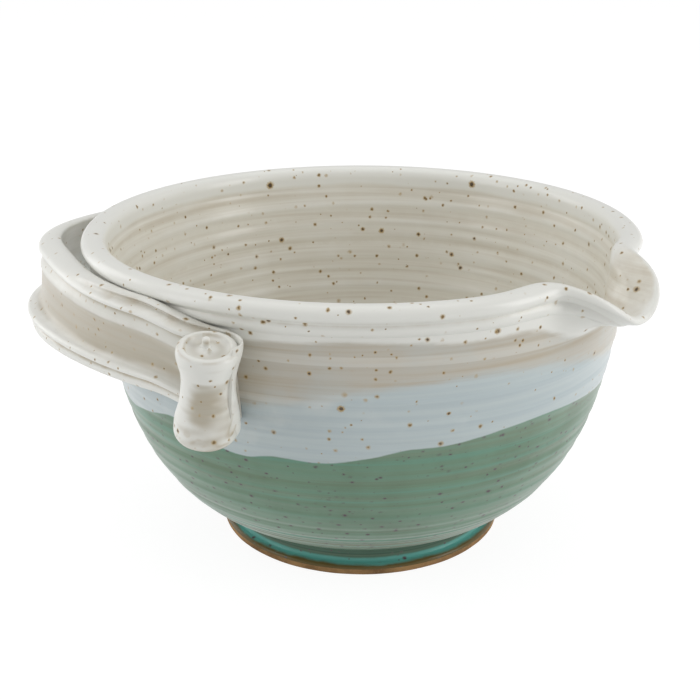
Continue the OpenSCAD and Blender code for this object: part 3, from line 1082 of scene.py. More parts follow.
@dataclass(frozen=True)
class LinerMarks:
    """How thick the liner lies and how much it breaks to brown: on the lip, in the spout and inside.

    The groove's height is a share of the lip's, and inward start and run are shares of its reach. The bells
    are read in millimetres from the groove and from the lip's middle. The crest and the white inside begin
    a drop below the rim.
    """

    groove_share: float = 0.45
    groove: Bell = Bell(0.0, 1.1)
    groove_thick: float = 0.4
    groove_thin: float = 0.22
    spout_thick: float = 0.9
    spout_thin: float = 0.2
    inward_start: float = 0.2
    inward_run: float = 0.5
    crest: Bell = Bell(0.0, 0.9, 0.3)
    crest_drop: float = 3.0
    crest_run: float = 2.0
    white_drop: float = 7.5
    white_sway: float = 1.4
    white_sway_scale: float = 0.06
    white_lead: float = 2.2
    white_run: float = 3.4
    inside_thick: float = 0.3
    white_thick: float = 0.68
    ring_fade: float = 3.0
    ring_thick: float = 0.2
    ring_thin: float = 0.16
    channel_run: float = 8.0
    channel_thick: float = 0.1
    channel_thin: float = 0.22


@dataclass
class ThrownBowl:
    """The thrown bowl: its clay, its foot ring and the four coats of glaze on it."""

    studio: Studio
    shape: BowlShape = field(default_factory=BowlShape)
    lines: TurnedLines = TurnedLines()
    marks: LinerMarks = LinerMarks()
    turn_steps: int = 360
    clay_turn_steps: int = 180
    back_step: float = 5.0
    clay_step: float = 4.0
    wall_step: float = 0.9
    turned_step: float = 0.4
    foot_step: float = 0.5
    lip_step: float = 0.55
    floor_radii: tuple[float, ...] = (36.0, 30.0, 22.0, 14.0, 7.0, 0.0)
    wobble: float = 0.16
    wobble_scale: float = 0.02
    foot_wobble: float = 0.12
    foot_wobble_scale: float = 6.0
    ring_share: float = 2.2
    green_sheen: float = 0.25

    def outer_out(self, z: float, turn: float) -> float:
        """Returns how far the outer wall's rings stand out, fading out under the lip and at the neck."""
        s = self.shape
        fade = faded(z, low=s.root_z - 4, rise=34, high=s.wall_top_z + 1, fall=9)
        return fade * s.outer_rings.at(z, turn)

    def tooled(self, z: float) -> float:
        """Returns how far the turned lines low on the wall stand out."""
        return faded(z, low=self.shape.root_z, rise=3, high=self.lines.top_z, fall=22) * self.lines.at(z)

    def inner_out(self, z: float, turn: float) -> float:
        """Returns how far the inner wall's rings stand in, fading out at the lip and on the floor."""
        s = self.shape
        fade = faded(z, low=s.floor_z - 3, rise=8, high=s.bowl_h - 8.5, fall=7)
        return fade * s.inner_rings.at(z, turn)

    def shape_band(self, bm: bmesh.types.BMesh) -> None:
        """Gives a lathed band its rings, its spout and the values that its glaze reads.

        Args:
            bm: The band, in the millimetres of its outline.
        """
        s = self.shape
        layers = [bm.verts.layers.float.new(name) for name in BAND_LAYERS]
        for vert in bm.verts:
            x, y, z = vert.co
            r, _, turn = polar(vert.co)
            ring = self.outer_out(z, turn) + self.tooled(z) if z > s.root_z else 0.0
            soft = self.wobble * noise.noise(Vector((x, y, z * 2)) * self.wobble_scale)
            soft *= faded(z, low=3, rise=20, high=s.wall_top_z, fall=20)
            vert.co = s.place(r + ring + soft, z, turn)
            over = [z - round_curve(edge, turn) for edge in (WHITE_EDGE, BLUE_EDGE, GREEN_EDGE)]
            for layer, value in zip(layers, (*over, self.ring_share * ring / s.outer_rings.reach, z)):
                vert[layer] = value

    def shape_liner(self, bm: bmesh.types.BMesh) -> None:
        """Gives the lathed liner its rings, its spout and the values that its glaze reads.

        Args:
            bm: The liner, in the millimetres of its outline.
        """
        s = self.shape
        thick, thin = (bm.verts.layers.float.new(name) for name in GLAZE_LAYERS)
        moves = [bm.verts.layers.float[name] for name in MOVES]
        for vert in bm.verts:
            r, z, turn = polar(vert.co)
            ring = self.inner_out(z, turn) if 1.0 < r < s.lip_r - 0.8 * s.lip_reach else 0.0
            vert.co = s.place(r - ring, z, turn, [vert[layer] for layer in moves])
            if r > s.lip_r - 0.4 * s.lip_reach:
                vert[thick], vert[thin] = self.lip_glaze(r, z, turn)
            else:
                vert[thick], vert[thin] = self.inner_glaze(z, turn, ring)

    def lip_glaze(self, r: float, z: float, turn: float) -> tuple[float, float]:
        """Works out how the glaze lies on the lip.

        Args:
            r: Radius in the outline.
            z: Height in the outline.
            turn: Direction round the bowl.

        Returns:
            How thick it lies and how much it breaks to brown.
        """
        s, m = self.shape, self.marks
        spout = s.rim(s.from_spout(turn))
        groove = (1 - spout) * m.groove.of(z - s.wall_top_z - m.groove_share * s.lip_h)
        inward = ease((s.lip_r + m.inward_start * s.lip_reach - r) / (m.inward_run * s.lip_reach))
        crest = m.crest.of(r - s.lip_r) * ease((z - s.bowl_h + m.crest_drop) / m.crest_run)
        return (1.0 - m.groove_thick * groove - m.spout_thick * spout * inward,
                m.groove_thin * groove + spout * (m.spout_thin * inward + crest))

    def inner_glaze(self, z: float, turn: float, ring: float) -> tuple[float, float]:
        """Works out how the glaze lies on the inside.

        Args:
            z: Height in the outline.
            turn: Direction round the bowl.
            ring: How far a throwing ring stands in there.

        Returns:
            How thick it lies and how much it breaks to brown.
        """
        s, m = self.shape, self.marks
        level = s.bowl_h - m.white_drop
        level += m.white_sway * noise.noise(Vector((turn * m.white_sway_scale, 0.0, 3.0)))
        wave = ring / s.inner_rings.reach
        thick = m.inside_thick + m.white_thick * ease((z - level + m.white_lead) / m.white_run)
        thick += m.ring_thick * wave * (1 - ease((z - level) / m.ring_fade))
        thin = m.ring_thin * ease((-wave - 0.25) / 0.5)
        channel = s.rim(s.from_spout(turn)) * ease((z - s.throat_z) / m.channel_run)
        return blend(thick, m.channel_thick, channel), blend(thin, m.channel_thin, channel)

    def back(self, line: Sequence[Point]) -> list[Point]:
        """Works out the clay side of a coat.

        Args:
            line: The coat's outline.

        Returns:
            The outline set in by the glaze's thickness, backwards.
        """
        t = self.shape.glaze_t
        coarse = respaced(line, self.back_step)
        out: list[Point] = []
        for i, p in enumerate(coarse):
            a, b = coarse[max(i - 1, 0)], coarse[min(i + 1, len(coarse) - 1)]
            size = math.dist(a[:2], b[:2]) or 1.0
            out.append((p[0] - t * (b[1] - a[1]) / size, p[1] + t * (b[0] - a[0]) / size, *p[2:]))
        return out[::-1]

    def foot_line(self) -> list[Point]:
        """Works out the glazed outline of the foot.

        Returns:
            Its points, from the bare clay up to the root of the wall.
        """
        s = self.shape
        edge, inset = s.foot_r + s.foot_swell, s.neck_cut + s.foot_swell
        points = [(edge - a * inset, blend(s.bare_h, s.foot_h, b)) for a, b in FOOT_SHARES]
        points.append((s.wall_r(s.root_z + 1), s.root_z + 1))
        return spline(points, 12)

    def lip_line(self) -> list[Point]:
        """Returns the outline of the rolled lip, from the top of the outer wall over to the inside."""
        s = self.shape
        return spline([(s.lip_r + a * s.lip_reach, s.wall_top_z + b * s.lip_h, c * s.lip_reach, d * s.lip_h)
                       for a, b, c, d in LIP_SHARES], 10)

    def clay_line(self) -> list[Point]:
        """Works out the outline of the clay, which lies a little deeper than the coats are thick.

        Returns:
            Its points, from the middle of the floor over the lip to the middle of the underside.
        """
        s = self.shape
        sink, reach = s.glaze_t * 2, s.lip_reach
        neck = s.neck_r - s.glaze_t
        inside = [(r + sink, z - sink) for r, z in respaced(s.inner_line(), self.clay_step)]
        top = [(s.lip_r - 0.5 * reach, s.bowl_h - 4 * sink, 0.7 * reach, 0.0),
               (s.lip_r, s.bowl_h - 3 * sink, 0.55 * reach, 0.0),
               (s.lip_r + 0.2 * reach, s.wall_top_z + 0.45 * s.lip_h, -0.55 * reach, 0.0)]
        outside = respaced(s.wall_line(s.root_z + 1, s.wall_top_z), self.clay_step)
        outside = [(r - sink, z) for r, z in outside]
        base = [(neck, s.foot_h + 0.6), (neck, s.foot_h)]
        under = [(r, s.foot_h + 0.25 * (1 - math.cos(math.tau * r / 4.5))) for r in range(50, 1, -1)]
        return ([(0.0, s.floor_z - sink)] + inside[::-1] + top + outside[::-1] + base + under
                + [(0.0, s.foot_h)])

    def ring_line(self) -> list[Point]:
        """Works out the outline of the foot ring.

        Returns:
            Its points, from the recess under the foot out to the neck.
        """
        s = self.shape
        edge, inner, neck = s.foot_r + s.foot_swell, s.foot_r - s.foot_w, s.neck_r - s.glaze_t
        return [(inner - 1.0, s.foot_h), (inner - 0.3, 1.2), (inner + 0.1, 0.35), (inner + 0.6, 0.0),
                (s.foot_r - 0.5, 0.0), (s.foot_r + 0.15, 0.15), (s.foot_r + 0.55, 0.6), (edge, 1.5),
                (edge - 0.05, s.bare_h), (edge - s.glaze_t, s.bare_h + 0.1),
                (edge - s.glaze_t - 0.4, 3.5), (edge - 2.4, 4.6), (neck, 5.9), (neck, s.foot_h)]

    def build(self) -> None:
        """Builds and dresses the bowl's pieces."""
        s = self.shape
        self.build_band(Coat.GREEN, s.root_z + 1, s.green_top_z)
        self.build_band(Coat.BLUE, s.green_top_z, s.blue_top_z)
        self.build_band(Coat.CREAM, s.blue_top_z, s.wall_top_z)
        self.build_liner()
        clay = ClayFinish().material()
        self.build_clay(clay)
        self.build_foot(clay)

    def build_band(self, coat: Coat, low: float, high: float) -> None:
        """Builds one band of the outer glaze; the green one also lies on the foot.

        Args:
            coat: The band's slot.
            low: Where it starts on the wall.
            high: Where it ends.
        """
        s = self.shape
        sheen = GlazeFinish.sheen
        face = respaced(s.wall_line(max(low, s.turned_z), high), self.wall_step)
        if coat is Coat.GREEN:
            sheen = self.green_sheen
            turned = respaced(s.wall_line(low, s.turned_z), self.turned_step)
            face = respaced(self.foot_line(), self.foot_step)[:-1] + turned[:-1] + face
        bm = lathe(face + self.back(face), self.turn_steps)
        self.shape_band(bm)
        finish = GlazeFinish(self.studio, f"{coat.value}_band_glaze", sheen=sheen, spots=OUTER_SPOTS)
        finish_piece(f"{coat.value}_coat", bm, finish.banded(), [f"{coat.value}_glaze"])

    def build_liner(self) -> None:
        """Builds the liner: the glaze on the lip and over the whole inside."""
        s = self.shape
        lip = respaced(self.lip_line(), self.lip_step)
        wall = [(r, z, 0.0, 0.0) for r, z in s.inner_line() if z < lip[-1][1] - 1.0]
        wall = respaced(spline([lip[-2], lip[-1]] + wall[::6] + [wall[-1]], 4)[4:], 1.0)
        radii = [r for r in self.floor_radii if r < wall[-1][0] - 2]
        face = lip + wall[1:] + [(r, s.floor_z + s.glaze_t, 0.0, 0.0) for r in radii]
        under = self.back(face)
        under[0] = (0.0, *under[0][1:])
        bm = lathe(face + under, self.turn_steps, layers=MOVES)
        self.shape_liner(bm)
        finish = GlazeFinish(self.studio, "liner_glaze", rough=0.27, spots=INNER_SPOTS)
        glaze = finish.plain(finish.tones.inside, LINER_SPECKS)
        finish_piece("liner_coat", bm, glaze, ["liner_glaze"])

    def build_clay(self, clay: bpy.types.Material) -> None:
        """Builds the clay under the glaze.

        Args:
            clay: Its material.
        """
        bm = lathe(self.clay_line(), self.clay_turn_steps, closed=False, layers=MOVES)
        moves = [bm.verts.layers.float[name] for name in MOVES]
        for vert in bm.verts:
            vert.co = self.shape.place(*polar(vert.co), [vert[layer] for layer in moves])
        finish_piece("clay_body", bm, clay, ["bowl_body"])

    def build_foot(self, clay: bpy.types.Material) -> None:
        """Builds the bare foot ring, whose side is a little uneven.

        Args:
            clay: Its material.
        """
        bm = lathe(self.ring_line(), self.turn_steps)
        for vert in bm.verts:
            turn = math.atan2(vert.co.y, vert.co.x)
            out = Vector((math.cos(turn), math.sin(turn), 0.0))
            if 0.1 < vert.co.z < self.shape.bare_h:
                place = Vector((out.x, out.y, vert.co.z)) * self.foot_wobble_scale
                vert.co += self.foot_wobble * noise.noise(place) * out
        finish_piece("foot_clay", bm, clay, ["foot_ring"])


# Handle

# Strap across: out from the inner face as shares of its thickness, up its height, how thick the glaze
# lies and how much it breaks to brown
STRAP_SHARES = (
    (0.0, 0.5, 0.5, 0.0), (0.0, 0.2, 0.5, 0.0), (0.03, 0.05, 0.6, 0.3), (0.18, 0.0, 0.6, 0.7),
    (0.42, 0.004, 0.7, 0.7), (0.58, 0.022, 0.85, 0.3), (0.66, 0.058, 1.0, 0.0), (0.68, 0.095, 0.8, 0.1),
    (0.64, 0.122, 0.35, 0.9), (0.66, 0.138, 0.4, 0.7), (0.82, 0.158, 0.9, 0.0), (0.95, 0.19, 1.05, 0.0),
    (0.9, 0.226, 0.95, 0.0), (0.68, 0.255, 0.65, 0.1), (0.5, 0.295, 0.25, 0.1), (0.46, 0.36, 0.1, 0.1),
    (0.53, 0.47, 0.05, 0.1), (0.61, 0.58, 0.1, 0.1), (0.68, 0.655, 0.2, 0.2), (0.755, 0.695, 0.55, 0.0),
    (0.745, 0.735, 0.7, 0.0), (0.68, 0.79, 0.6, 0.0), (0.64, 0.832, 0.25, 0.5), (0.72, 0.85, 0.4, 0.4),
    (0.9, 0.868, 0.95, 0.0), (1.0, 0.9, 1.05, 0.0), (0.94, 0.945, 1.0, 0.0), (0.7, 0.982, 0.95, 0.0),
    (0.4, 1.0, 0.95, 0.0), (0.14, 0.995, 0.9, 0.1), (0.0, 0.955, 0.7, 0.2), (0.0, 0.8, 0.5, 0.0))
# Scroll's waist as the strap's end follows it, its own outline and its button's, all as shares of radius
# and height
WAIST_SHARES = ((1.0, 0.0), (1.04, 0.06), (1.0, 0.2), (0.91, 0.34), (0.83, 0.48), (0.81, 0.6), (0.86, 0.72),
                (0.94, 0.83), (0.98, 0.9), (0.98, 1.0))
SCROLL_SHARES = ((0.0, 0.0), (0.5, 0.0), (0.84, 0.0), (0.96, 0.012), (1.04, 0.05), (1.04, 0.1), (1.0, 0.2),
                 (0.91, 0.34), (0.835, 0.47), (0.81, 0.6), (0.85, 0.72), (0.925, 0.81), (0.97, 0.87),
                 (0.99, 0.92), (0.97, 0.965), (0.91, 0.992), (0.83, 1.0), (0.75, 0.993), (0.69, 0.978),
                 (0.63, 0.968), (0.45, 0.966), (0.2, 0.972), (0.0, 0.972))
BUTTON_SHARES = ((1.35, -0.2), (1.1, 0.02), (0.86, 0.18), (0.76, 0.42), (0.78, 0.66), (0.68, 0.86),
                 (0.4, 0.98), (0.0, 1.0))


@dataclass(frozen=True)
class StrapMarks:
    """How the strap's top is pressed down near the scrolls, and how its glaze lies, darker in the valley as
    beige glaze and painted shade.

    Bells are read by the share of the strap's height. The press and the end start and run in degrees.
    """

    press_start: float = 25.0
    press_run: float = 35.0
    press_stop_share: float = 0.4
    valley: Bell = Bell(0.96, 0.035)
    valley_sink: float = 0.55
    # the valley's darker tone: partly beige mottled glaze, partly painted shade
    valley_beige_and_shade: float = 0.35
    valley_thin: float = 0.6
    drawn: Bell = Bell(1.0, 0.06, 1.2)
    end_run: float = 22.0
    end_share: float = 0.6
    end_thick: float = 0.7
    curl_thick: float = 0.75
    ripple: Bell = Bell(0.45, 0.2, 0.12)
    ripple_waves: float = 31.0
    ripple_sway: float = 0.5
    ripple_sway_turn: float = 9.0
    break_share: float = 0.4


@dataclass(frozen=True)
class ScrollMarks:
    """Marks in the clay and glaze of a scroll and its button, with painted shade in the dish and a painted
    highlight on one flank.

    Names say what a bell is read by: rho and up are shares of the radius and height, phi is the direction
    in radians, x and y are millimetres in plan, and gap is the distance from the thumb mark.
    """

    level: float = 0.8
    dish_ring_rho: Bell = Bell(0.45, 0.16, 0.45)
    dish_edge_rho: Bell = Bell(0.74, 0.05, 0.3)
    nub_y: Bell = Bell(0.1, 0.6)
    nub_x: Bell = Bell(1.9, 0.8, 1.5)
    nub_break_x: Bell = Bell(2.2, 0.8)
    dish_break_rho: Bell = Bell(0.71, 0.035, 0.75)
    # a ring of painted shade that darkens the dish
    dish_shade_rho: Bell = Bell(0.45, 0.2, 0.35)
    side_level: float = 0.6
    side_thin_up: Bell = Bell(0.5, 0.24, 0.6)
    side_thin_phi: Bell = Bell(-0.25, 0.8)
    side_thick_up: Bell = Bell(0.8, 0.06, 0.5)
    # a painted highlight on the flank that the left lamps light
    flank_highlight_phi: Bell = Bell(-1.35, 0.5, 0.35)
    foot_break_up: Bell = Bell(0.08, 0.12, 0.5)
    sole_break_up: Bell = Bell(0.02, 0.018)
    rim_break_rho: Bell = Bell(0.93, 0.03, 0.4)
    thumb_phi: float = 0.9
    thumb_up: float = 0.24
    thumb_long: float = 5.2
    thumb_wide: float = 2.0
    thumb_lean: tuple[float, float] = (0.78, 0.62)
    thumb_rim_gap: Bell = Bell(1.0, 0.22)
    thumb_rise: float = 0.35
    thumb_sink_gap: Bell = Bell(0.0, 0.7, 0.45)
    thumb_break: float = 0.6
    streak: float = 0.3
    lump: float = 0.22
    lump_scale: float = 0.13
    button_y: Bell = Bell(0.0, 1.7)
    button_pinch_x: Bell = Bell(0.6, 1.02, 0.12)
    button_break_x: Bell = Bell(1.275, 0.765, 0.9)
    button_break_up: Bell = Bell(0.62, 0.3)


@dataclass
class StrapHandle:
    """The pulled strap, its rolled ends with their buttons, and the slip that bonds it to the wall."""

    studio: Studio
    bowl: BowlShape = field(default_factory=BowlShape)
    handle_turn: float = 173.5
    half: float = 73.0
    strap_h: float = 37.0
    strap_t: float = 9.0
    end_t: float = 3.2
    drop: float = 6.7
    end_drop: float = 7.1
    lean: float = 2.6
    upper_bow: float = 12.0
    lower_bow: float = 32.8
    upper_spread: float = 16.5
    lower_spread: float = 40.0
    lower_shift_turn: float = 7.5
    end_reach_share: float = 0.58
    end_sink_turn: float = 18.0
    end_thin_turn: float = 9.0
    thin_stop_turn: float = 1.5
    curl_turn: float = 95.0
    curl_thin_share: float = 0.25
    curl_low_share: float = 0.3
    scroll_r: float = 10.7
    scroll_h: float = 37.0
    scroll_tuck: float = 3.0
    button_r: float = 1.7
    button_h: float = 3.4
    bond_gap: float = 0.3
    slip_t: float = 0.9
    slip_turn: float = 9.0
    slip_up: float = 0.42
    slip_spread: float = 0.38
    slip_gap: float = 0.1
    slip_glaze: tuple[float, float] = (0.6, 0.3)
    strap_rows: int = 200
    curl_rows: int = 26
    slip_rows: int = 18
    slip_sides: int = 40
    scroll_step: float = 0.45
    scroll_turn_steps: int = 128
    button_turn_steps: int = 48
    button_base: float = 0.3
    button_up_share: float = 0.972
    button_shift: float = 1.7
    tip_share: float = 0.7
    tip_sink: float = 0.5
    marks: StrapMarks = StrapMarks()
    scroll_marks: ScrollMarks = ScrollMarks()

    def __post_init__(self) -> None:
        """Works out the radii at the strap's ends."""
        b = self.bowl
        self.seat_r = b.lip_r + b.lip_reach + self.bond_gap
        self.end_r = b.lip_r + self.end_reach_share * b.lip_reach + self.bond_gap
        self.across = spline(STRAP_SHARES, 4, closed=True)
        self.sides = len(self.across)
        self.waist = spline(WAIST_SHARES, 6)

    def end_ease(self, d: float) -> float:
        """Returns 0 along the middle and 1 at the scrolls, at the angle d from the middle."""
        return ease((abs(d) - self.half + self.end_sink_turn) / self.end_sink_turn)

    def thin_ease(self, d: float) -> float:
        """Returns how far the strap is pressed thin at the angle d, from 0 to 1."""
        return ease((abs(d) - self.half + self.end_thin_turn) / (self.end_thin_turn - self.thin_stop_turn))

    def top_z(self, d: float) -> float:
        """Returns the height of the strap's upper edge."""
        return (self.bowl.bowl_h - self.drop + self.lean * math.sin(math.radians(d))
                - self.end_drop * self.end_ease(d))

    def low_z(self, d: float) -> float:
        """Returns the height of the strap's lower edge."""
        return self.top_z(d) - self.strap_h

    def radius(self, d: float, up: float) -> float:
        """Returns the radius of the strap's inner face a share of the way up."""
        high = blend(self.seat_r, self.end_r, self.end_ease(d)) + self.upper_bow * lobe(d / self.upper_spread)
        low = (self.bowl.wall_r(self.low_z(d)) + self.slip_t
               + self.lower_bow * lobe((d + self.lower_shift_turn) / self.lower_spread))
        return blend(low, high, up)

    def around(self, r: float, d: float) -> Vector:
        """Returns the point in plan at a radius and an angle from the handle's middle."""
        a = math.radians(self.handle_turn + d)
        return Vector((r * math.cos(a), r * math.sin(a)))

    def outward(self, d: float) -> Vector:
        """Returns the direction square to the strap in plan, away from the bowl."""
        step = 0.5
        t = self.around(self.radius(d + step, 1), d + step) - self.around(self.radius(d - step, 1), d - step)
        return Vector((t.y, -t.x)).normalized()

    def axis(self, side: Side, up: float) -> Vector:
        """Returns a scroll's axis in plan, level with a share of the strap's height."""
        d = side.value * self.half
        return self.around(self.radius(d, up) + self.end_t + self.bond_gap + self.scroll_r,
                           side.value * (self.half - self.scroll_tuck * (1 - up)))

    def waist_at(self, up: float) -> float:
        """Returns the scroll's radius a share of the way up it, as a share of its end radius."""
        up = min(max(up, 0.0), 1.0)
        for a, b in zip(self.waist, self.waist[1:]):
            if a[1] <= up <= b[1]:
                return blend(a[0], b[0], (up - a[1]) / ((b[1] - a[1]) or 1.0))
        return 1.0

    def pressed(self, d: float, past: float) -> float:
        """Works out how far the strap's top is pressed down near the scrolls.

        Args:
            d: The angle from the strap's middle.
            past: The share of the way round the curl, or 0 before it.

        Returns:
            A share from 0 to 1.
        """
        m = self.marks
        return ease((abs(d) - m.press_start) / m.press_run) * (1 - ease(past / m.press_stop_share))

    def curled(self, side: Side, part: float, out: float, up: float) -> Vector:
        """Carries a corner of the strap's end round its scroll.

        Args:
            side: Which end of the strap.
            part: The share of the way round the curl.
            out: The share of the strap's thickness.
            up: The share of its height.

        Returns:
            The point in plan.
        """
        tip = ease((part - self.tip_share) / (1 - self.tip_share))
        thin = self.curl_thin_share * blend(self.curl_low_share, 1, up)
        t = self.end_t * blend(1, thin, math.sqrt(part)) * (1 - tip)
        turn = self.handle_turn + FULL_TURN / 2 + side.value * (self.half - self.curl_turn * part)
        way = math.radians(turn)
        reach = self.scroll_r * blend(1.0, self.waist_at(up), ease(part * 2))
        reach += self.bond_gap * (1 - part) - self.tip_sink * tip
        return self.axis(side, up) + (reach + t * (1 - out)) * Vector((math.cos(way), math.sin(way)))

    def strap_point(self, row: int, share: float) -> Point:
        """Places a corner of the strap.

        Towards the scrolls the strap's top is a valley between its bead and an inner edge drawn in to
        the lip.

        Args:
            row: The ring, from the end of the rear curl to the end of the front one.
            share: The share of the way round the ring.

        Returns:
            Its x, y and z, how thick the glaze lies there and how much it breaks to brown.
        """
        m = self.marks
        out, up, thick, thin = self.across[round(share * self.sides) % self.sides]
        run = min(max(2 * (row - self.curl_rows) / self.strap_rows - 1, -1.0), 1.0)
        d = self.half * math.sin(run * math.pi / 2)
        past = max(self.curl_rows - row, row - self.curl_rows - self.strap_rows, 0) / self.curl_rows
        ends = self.pressed(d, past)
        drawn = ends * m.drawn.of(up) * (1 - ease(out / 0.5))
        valley = ends * m.valley.of(up) * ease((out - 0.05) / 0.3)
        out -= m.valley_sink * valley * out
        # the valley is darker: partly beige mottled glaze, partly painted shade
        thick = blend(thick, m.valley_beige_and_shade, valley)
        thin = blend(thin, m.valley_thin, valley)
        if past:
            plan = self.curled(Side.FRONT if d > 0 else Side.REAR, past, out, up)
            thick = blend(thick, m.curl_thick, past)
        else:
            t = blend(self.strap_t, self.end_t, self.thin_ease(d))
            plan = self.around(self.radius(d, up), d) + (out * t - drawn) * self.outward(d)
        thick = blend(thick, m.end_thick, m.end_share * ease((abs(d) - self.half + m.end_run) / m.end_run))
        sway = m.ripple_sway * math.sin(d / m.ripple_sway_turn)
        thick += m.ripple.of(up) * math.sin(up * m.ripple_waves + sway)
        thin *= 1 - m.break_share + m.break_share * math.sin(d * 0.9 + up * 9)
        return plan.x, plan.y, blend(self.low_z(d), self.top_z(d), up), thick, thin

    def at_scroll(self, side: Side) -> Matrix:
        """Returns the turn and place of a scroll: upright on its axis, leaning with the wall."""
        low = self.axis(side, 0)
        way = self.axis(side, 1) - low
        tilt = math.atan2(way.length, self.strap_h)
        return (Matrix.Translation((low.x, low.y, self.low_z(side.value * self.half)))
                @ Matrix.Rotation(math.atan2(way.y, way.x), 4, "Z") @ Matrix.Rotation(tilt, 4, "Y"))

    def dished(self, x: float, y: float) -> tuple[float, float, float]:
        """Works out the marks in a scroll's dish: a low ring, and a ridge that runs outwards from the nub.

        Args:
            x: Place in plan, away from the scroll's axis.
            y: Place in plan, across it.

        Returns:
            How far the clay stands up, how thick the glaze lies (less in a ring of painted shade) and how
            much it breaks to brown.
        """
        m = self.scroll_marks
        rho, phi = math.hypot(x, y) / self.scroll_r, math.atan2(y, x)
        nub = m.nub_y.of(y)
        rise = m.dish_edge_rho.of(rho) + nub * m.nub_x.of(x)
        rise -= m.dish_ring_rho.of(rho) * (0.7 + 0.3 * math.sin(phi * 2 + 0.7))
        edge = m.dish_break_rho.of(rho) * (0.6 + 0.4 * math.sin(phi * 2.5)) + nub * m.nub_break_x.of(x)
        # the dish's glaze is darker in a ring of painted shade
        return rise, m.level - m.dish_shade_rho.of(rho), edge

    def side_glaze(self, side: Side, x: float, y: float, z: float) -> tuple[float, float]:
        """Works out how the glaze lies on a scroll outside its dish, with a painted highlight on one flank.

        Args:
            side: Which end of the strap.
            x: Place in plan, away from the scroll's axis.
            y: Place in plan, across it.
            z: Height on the scroll.

        Returns:
            How thick it lies and how much it breaks to brown.
        """
        m = self.scroll_marks
        up, phi = z / self.scroll_h, math.atan2(y, x)
        level, edge = m.level, 0.0
        if up < 0.85:
            level = m.side_level - m.side_thin_up.of(up) * m.side_thin_phi.of(phi)
            # a paler band high on the roll, and a painted highlight on one flank
            level += m.side_thick_up.of(up) + m.flank_highlight_phi.of(phi)
        if up < 0.93:
            shift = Vector((side.value * 5.0, 0, 0))
            level += m.streak * noise.noise(Vector((x * 0.12, y * 0.12, z * 0.45)) + shift)
            patch = noise.noise(Vector((x, y, z * 1.6)) * 0.3)
            edge = m.foot_break_up.of(up) * ease((patch - 0.15) / 0.3)
        return level, edge

    def thumbed(self, side: Side, phi: float, up: float) -> tuple[float, float]:
        """Works out the almond-shaped thumb mark low on a scroll's side towards the spout.

        Args:
            side: Which end of the strap.
            phi: Direction round the scroll, in radians.
            up: The share of its height.

        Returns:
            How far the clay stands out, and how much the glaze breaks to brown.
        """
        if up >= 0.8:
            return 0.0, 0.0
        m = self.scroll_marks
        along, across = m.thumb_lean
        u = (phi - m.thumb_phi * side.value) * self.scroll_r
        v = (up - m.thumb_up) * self.scroll_h
        gap = math.hypot((u * along + v * across) / m.thumb_long, (v * along - u * across) / m.thumb_wide)
        rim = m.thumb_rim_gap.of(gap)
        return m.thumb_rise * rim - m.thumb_sink_gap.of(gap), m.thumb_break * rim

    def scroll_mesh(self, side: Side) -> bmesh.types.BMesh:
        """Makes one scroll: a waisted roll with a rounded rim and a dish.

        Args:
            side: Which end of the strap.

        Returns:
            A new mesh.
        """
        r, h, m = self.scroll_r, self.scroll_h, self.scroll_marks
        line = respaced(spline([(a * r, b * h) for a, b in SCROLL_SHARES], 8), self.scroll_step)
        line[0], line[-1] = (0.0, line[0][1]), (0.0, line[-1][1])
        bm = lathe(line, self.scroll_turn_steps, closed=False)
        thick, thin = (bm.verts.layers.float.new(name) for name in GLAZE_LAYERS)
        place = self.at_scroll(side)
        shift = Vector((side.value * 7.0, 0, 0))
        for vert in bm.verts:
            x, y, z = vert.co
            rho, phi, up = math.hypot(x, y) / r, math.atan2(y, x), z / h
            if up > 0.9 and rho < 0.9:
                rise, level, edge = self.dished(x, y)
                z += rise
            else:
                level, edge = self.side_glaze(side, x, y, z)
            push, rim = self.thumbed(side, phi, up)
            edge += m.sole_break_up.of(up) + m.rim_break_rho.of(rho) * ease((up - 0.97) / 0.02) + rim
            lump = m.lump * noise.noise(Vector((x, y, z)) * m.lump_scale + shift)
            upright = 0.02 < up < 0.93
            grow = 1 + (push + lump) / max(rho * r, 3.0) if upright else 1 + lump / max(rho * r, 4.0)
            vert.co = place @ Vector((x * grow, y * grow, z))
            vert[thick], vert[thin] = level, min(edge, 1.0)
        return bm

    def button_mesh(self, side: Side) -> bmesh.types.BMesh:
        """Makes the button of one scroll: a small pinched lump in the dish.

        Args:
            side: Which end of the strap.

        Returns:
            A new mesh.
        """
        r, h, m = self.button_r, self.button_h, self.scroll_marks
        base_r, base_z = r * BUTTON_SHARES[0][0], -self.button_base * h
        line = [(max(a, 0.0) * r, b * h) for a, b in spline(BUTTON_SHARES, 5)]
        line[-1] = (0.0, h)
        bm = lathe([(0.0, base_z), (base_r, base_z)] + line, self.button_turn_steps, closed=False)
        thick, thin = (bm.verts.layers.float.new(name) for name in GLAZE_LAYERS)
        up = self.scroll_h * self.button_up_share
        place = self.at_scroll(side) @ Matrix.Translation((-self.button_shift, 0, up))
        for vert in bm.verts:
            x, y, z = vert.co
            z *= 1 - m.button_pinch_x.of(x) * m.button_y.of(y)
            vert.co = place @ Vector((x, y, z))
            vert[thick] = 1.0
            vert[thin] = m.button_break_x.of(x) * m.button_y.of(y) * m.button_break_up.of(z / h)
        return bm

